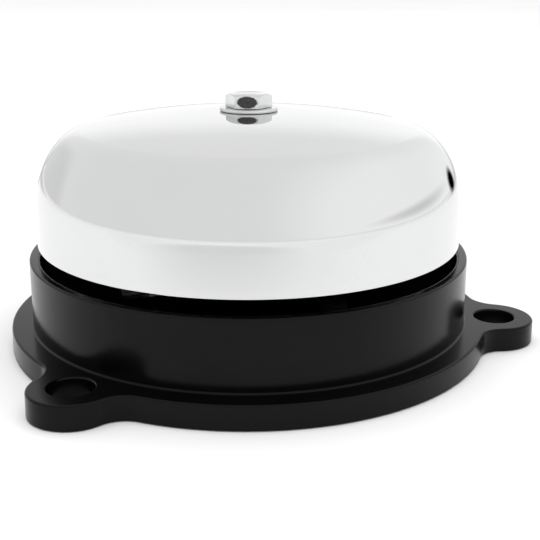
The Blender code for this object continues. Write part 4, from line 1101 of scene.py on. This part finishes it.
@dataclass(frozen=True)
class Card:
    """A soft-edged oval card, dark or bright, that only the bell's reflections see."""

    name: str
    bearing: float
    elevation: float
    distance: float
    size: Point
    brightness: float = 0.0
    flat: bool = False
    softness: float = 0.4
    aim_height: float = 40 * MM

    def build(self, heading: float) -> None:
        """Stand the card facing the bell, or lay it flat by the floor.

        Args:
            heading: direction that the camera looks in, from which bearings turn clockwise.
        """
        shape = bmesh.new()
        bmesh.ops.create_grid(shape, x_segments=1, y_segments=1, size=0.5)
        card = new_piece(self.name, shape)
        turn = heading - math.radians(self.bearing)
        rise = math.radians(self.elevation)
        away = Vector((math.cos(turn) * math.cos(rise), math.sin(turn) * math.cos(rise), math.sin(rise)))
        start = Vector((0.0, 0.0, 0.0 if self.flat else self.aim_height))
        card.location = start + away * self.distance
        card.rotation_euler = (0.0, 0.0, turn) if self.flat else away.to_track_quat("Z", "Y").to_euler()
        card.scale = (self.size[0], self.size[1], 1.0)
        card.data.materials.append(self.surface())
        card.visible_camera = False
        card.visible_diffuse = False
        card.visible_shadow = False

    def surface(self) -> bpy.types.Material:
        """Even grey that fades out towards the rim of an oval."""
        material = bpy.data.materials.new(self.name)
        material.use_nodes = True
        tree = material.node_tree
        shader = tree.nodes["Principled BSDF"]
        shader.inputs["Base Color"].default_value = (0.0, 0.0, 0.0, 1.0)
        shader.inputs["Roughness"].default_value = 1.0
        shader.inputs["Specular IOR Level"].default_value = 0.0
        shader.inputs["Emission Color"].default_value = (1.0, 1.0, 1.0, 1.0)
        shader.inputs["Emission Strength"].default_value = self.brightness
        place = tree.nodes.new("ShaderNodeTexCoord").outputs["Object"]
        length = tree.nodes.new("ShaderNodeVectorMath")
        length.operation = "LENGTH"
        tree.links.new(place, length.inputs[0])
        fade = tree.nodes.new("ShaderNodeMapRange")
        fade.interpolation_type = "SMOOTHSTEP"
        fade.inputs["From Min"].default_value = 0.5 * (1.0 - self.softness)
        fade.inputs["From Max"].default_value = 0.5
        fade.inputs["To Min"].default_value = 1.0
        fade.inputs["To Max"].default_value = 0.0
        tree.links.new(length.outputs["Value"], fade.inputs["Value"])
        tree.links.new(fade.outputs["Result"], shader.inputs["Alpha"])
        return material


@dataclass
class Studio:
    """Pale floor, soft white surround, one lamp and the cards that the chrome mirrors."""

    heading: float = math.radians(65.6)
    floor_size: float = 6.0
    level: float = 0.95
    right_gain: float = 0.17
    back_glow: float = 0.18
    left_shade: float = 0.13
    side_span: Point = (0.0, 0.8)
    glow_span: Point = (0.90, 0.965)
    shade_span: Point = (0.90, 0.97)
    lamp_height: float = 1.4
    lamp_size: float = 1.6
    lamp_power: float = 7.5

    def build(self) -> None:
        """Make the surround, the floor, the lamp and the cards."""
        self.surround()
        self.floor()
        self.lamp("top_light")
        for card in self.cards():
            card.build(self.heading)

    def surround(self) -> None:
        """White world, brighter on the right and low behind the bell, duller far left."""
        world = bpy.data.worlds.new("white_surround")
        bpy.context.scene.world = world
        world.use_nodes = True
        tree = world.node_tree
        back = tree.nodes["Background"]
        back.inputs["Color"].default_value = (1.0, 1.0, 1.0, 1.0)
        place = tree.nodes.new("ShaderNodeTexCoord").outputs["Generated"]
        ahead = Vector((math.cos(self.heading), math.sin(self.heading), 0.0))
        right = Vector((ahead.y, -ahead.x, 0.0))
        far_left = (ahead - right).normalized()
        side = self.facing(tree, place, right, self.side_span, (self.level, self.level + self.right_gain))
        glow = self.facing(tree, place, ahead, self.glow_span, (0.0, self.back_glow))
        shade = self.facing(tree, place, far_left, self.shade_span, (0.0, -self.left_shade))
        total = self.add(tree, self.add(tree, side, glow), shade)
        tree.links.new(total, back.inputs["Strength"])

    def facing(self, tree: bpy.types.NodeTree, place: bpy.types.NodeSocket, towards: Corner,
               span: Point, levels: Point) -> bpy.types.NodeSocket:
        """Level that changes smoothly with how far a direction of the sky faces another.

        Args:
            tree: the world's node tree.
            place: the sky's direction.
            towards: direction that is compared with it.
            span: cosines between which the level changes.
            levels: level at each end of the span.

        Returns:
            The level.
        """
        dot = tree.nodes.new("ShaderNodeVectorMath")
        dot.operation = "DOT_PRODUCT"
        tree.links.new(place, dot.inputs[0])
        dot.inputs[1].default_value = towards
        ranged = tree.nodes.new("ShaderNodeMapRange")
        ranged.interpolation_type = "SMOOTHSTEP"
        ranged.inputs["From Min"].default_value = span[0]
        ranged.inputs["From Max"].default_value = span[1]
        ranged.inputs["To Min"].default_value = levels[0]
        ranged.inputs["To Max"].default_value = levels[1]
        tree.links.new(dot.outputs["Value"], ranged.inputs["Value"])
        return ranged.outputs["Result"]

    def add(self, tree: bpy.types.NodeTree, one: bpy.types.NodeSocket,
            other: bpy.types.NodeSocket) -> bpy.types.NodeSocket:
        """Sum of two levels."""
        node = tree.nodes.new("ShaderNodeMath")
        node.operation = "ADD"
        tree.links.new(one, node.inputs[0])
        tree.links.new(other, node.inputs[1])
        return node.outputs["Value"]

    def floor(self) -> None:
        """Large pale floor just under the base."""
        shape = bmesh.new()
        bmesh.ops.create_grid(shape, x_segments=1, y_segments=1, size=self.floor_size / 2)
        floor = new_piece("floor", shape)
        floor.location = (0.0, 0.0, -0.1 * MM)
        sheet = Sheet("floor_paper")
        sheet.tint(sheet.noise(3.0), (0.93, 0.93, 0.93), (0.95, 0.95, 0.95))
        sheet.shader.inputs["Roughness"].default_value = 0.9
        sheet.shader.inputs["Specular IOR Level"].default_value = 0.1
        floor.data.materials.append(sheet.material)

    def lamp(self, name: str) -> None:
        """Soft round light over the bell that brightens the floor and leaves no highlight."""
        light = bpy.data.lights.new(name, "AREA")
        light.shape = "DISK"
        light.size = self.lamp_size
        light.energy = self.lamp_power
        lamp = bpy.data.objects.new(name, light)
        lamp.location = (0.0, 0.0, self.lamp_height)
        lamp.visible_glossy = False
        bpy.context.scene.collection.objects.link(lamp)

    def cards(self) -> list[Card]:
        """Gaps and strips of the surround at both sides, and the shading of the floor."""
        return [
            Card("right_gap", 43.0, 0.5, 0.60, (0.17, 0.13), softness=0.6),
            Card("right_strip", 84.0, 5.5, 0.70, (1.10, 0.15), 0.80, softness=0.9),
            Card("left_edge", -36.0, -5.0, 0.30, (0.03, 0.14), 0.70, softness=0.8),
            Card("far_floor", 0.0, 0.4, 0.62, (0.80, 1.60), 0.72, flat=True, softness=0.4),
            Card("near_floor", 180.0, 0.6, 0.26, (0.42, 1.20), 1.12, flat=True, softness=0.4),
            Card("near_shade", 190.0, 0.8, 0.24, (0.34, 0.30), 0.92, flat=True, softness=0.6),
        ]


@dataclass
class PortraitCamera:
    """Camera that looks down on the bell from between two lugs."""

    reach: float = 0.22606
    height: float = 0.08532
    azimuth: float = math.radians(-23.1)
    aim_right: float = 0.022321
    tilt: float = 0.301473
    roll: float = 0.003841
    focal: float = 64.80

    def build(self) -> None:
        """Make the camera and use it."""
        data = bpy.data.cameras.new("portrait")
        data.lens = self.focal
        data.sensor_width = 36.0
        data.clip_start = 0.01
        camera = bpy.data.objects.new("portrait", data)
        heading = Vector((math.sin(self.aim_right), math.cos(self.aim_right), 0.0))
        ahead = heading * math.cos(self.tilt) - Vector((0.0, 0.0, math.sin(self.tilt)))
        right = Vector((heading.y, -heading.x, 0.0))
        up = right.cross(ahead)
        side = right * math.cos(self.roll) + up * math.sin(self.roll)
        top = up * math.cos(self.roll) - right * math.sin(self.roll)
        turned = Matrix((side, top, -ahead)).transposed().to_4x4()
        stand = Matrix.Translation((0.0, -self.reach, self.height)) @ turned
        camera.matrix_world = Matrix.Rotation(self.azimuth, 4, "Z") @ stand
        bpy.context.scene.collection.objects.link(camera)
        bpy.context.scene.camera = camera


def main() -> None:
    """Build the bell's pieces and its studio in order."""
    logging.basicConfig(level=logging.INFO, format="%(name)s: %(message)s")
    bpy.context.scene.view_settings.view_transform = "Standard"
    PortraitCamera().build()
    shop = Workshop()
    BaseHousing(shop).build()
    Grommet(shop).build()
    Gong(shop).build()
    GongFixing(shop).build()
    for number in range(1, 5):
        SlottedScrew(shop, f"chassis_screw_{number}").build()
    for number in range(1, 4):
        SlottedScrew(shop, f"cover_screw_{number}").build()
    for node in ("terminal_screw_1", "terminal_screw_2", "block_screw", "earth_screw"):
        SlottedScrew(shop, node).build()
    SlottedScrew(shop, "stop_screw", Axis.X).build()
    HexNut(shop, "stop_nut", 1.8 * MM, 5.5 * MM).build()
    TurnedPart(shop, "stop_pad", Axis.X, edge=0.4 * MM).build()
    TurnedPart(shop, "earth_washer", Axis.Z, 1.8 * MM).build()
    TurnedPart(shop, "pivot_clip", Axis.Y, 1.3 * MM).build()
    for side in ("left", "right"):
        Coil(shop, side).build()
    Striker(shop).build()
    ReturnSpring(shop).build()
    shop.dress_rest()
    Studio().build()


if __name__ == "__main__":
    main()
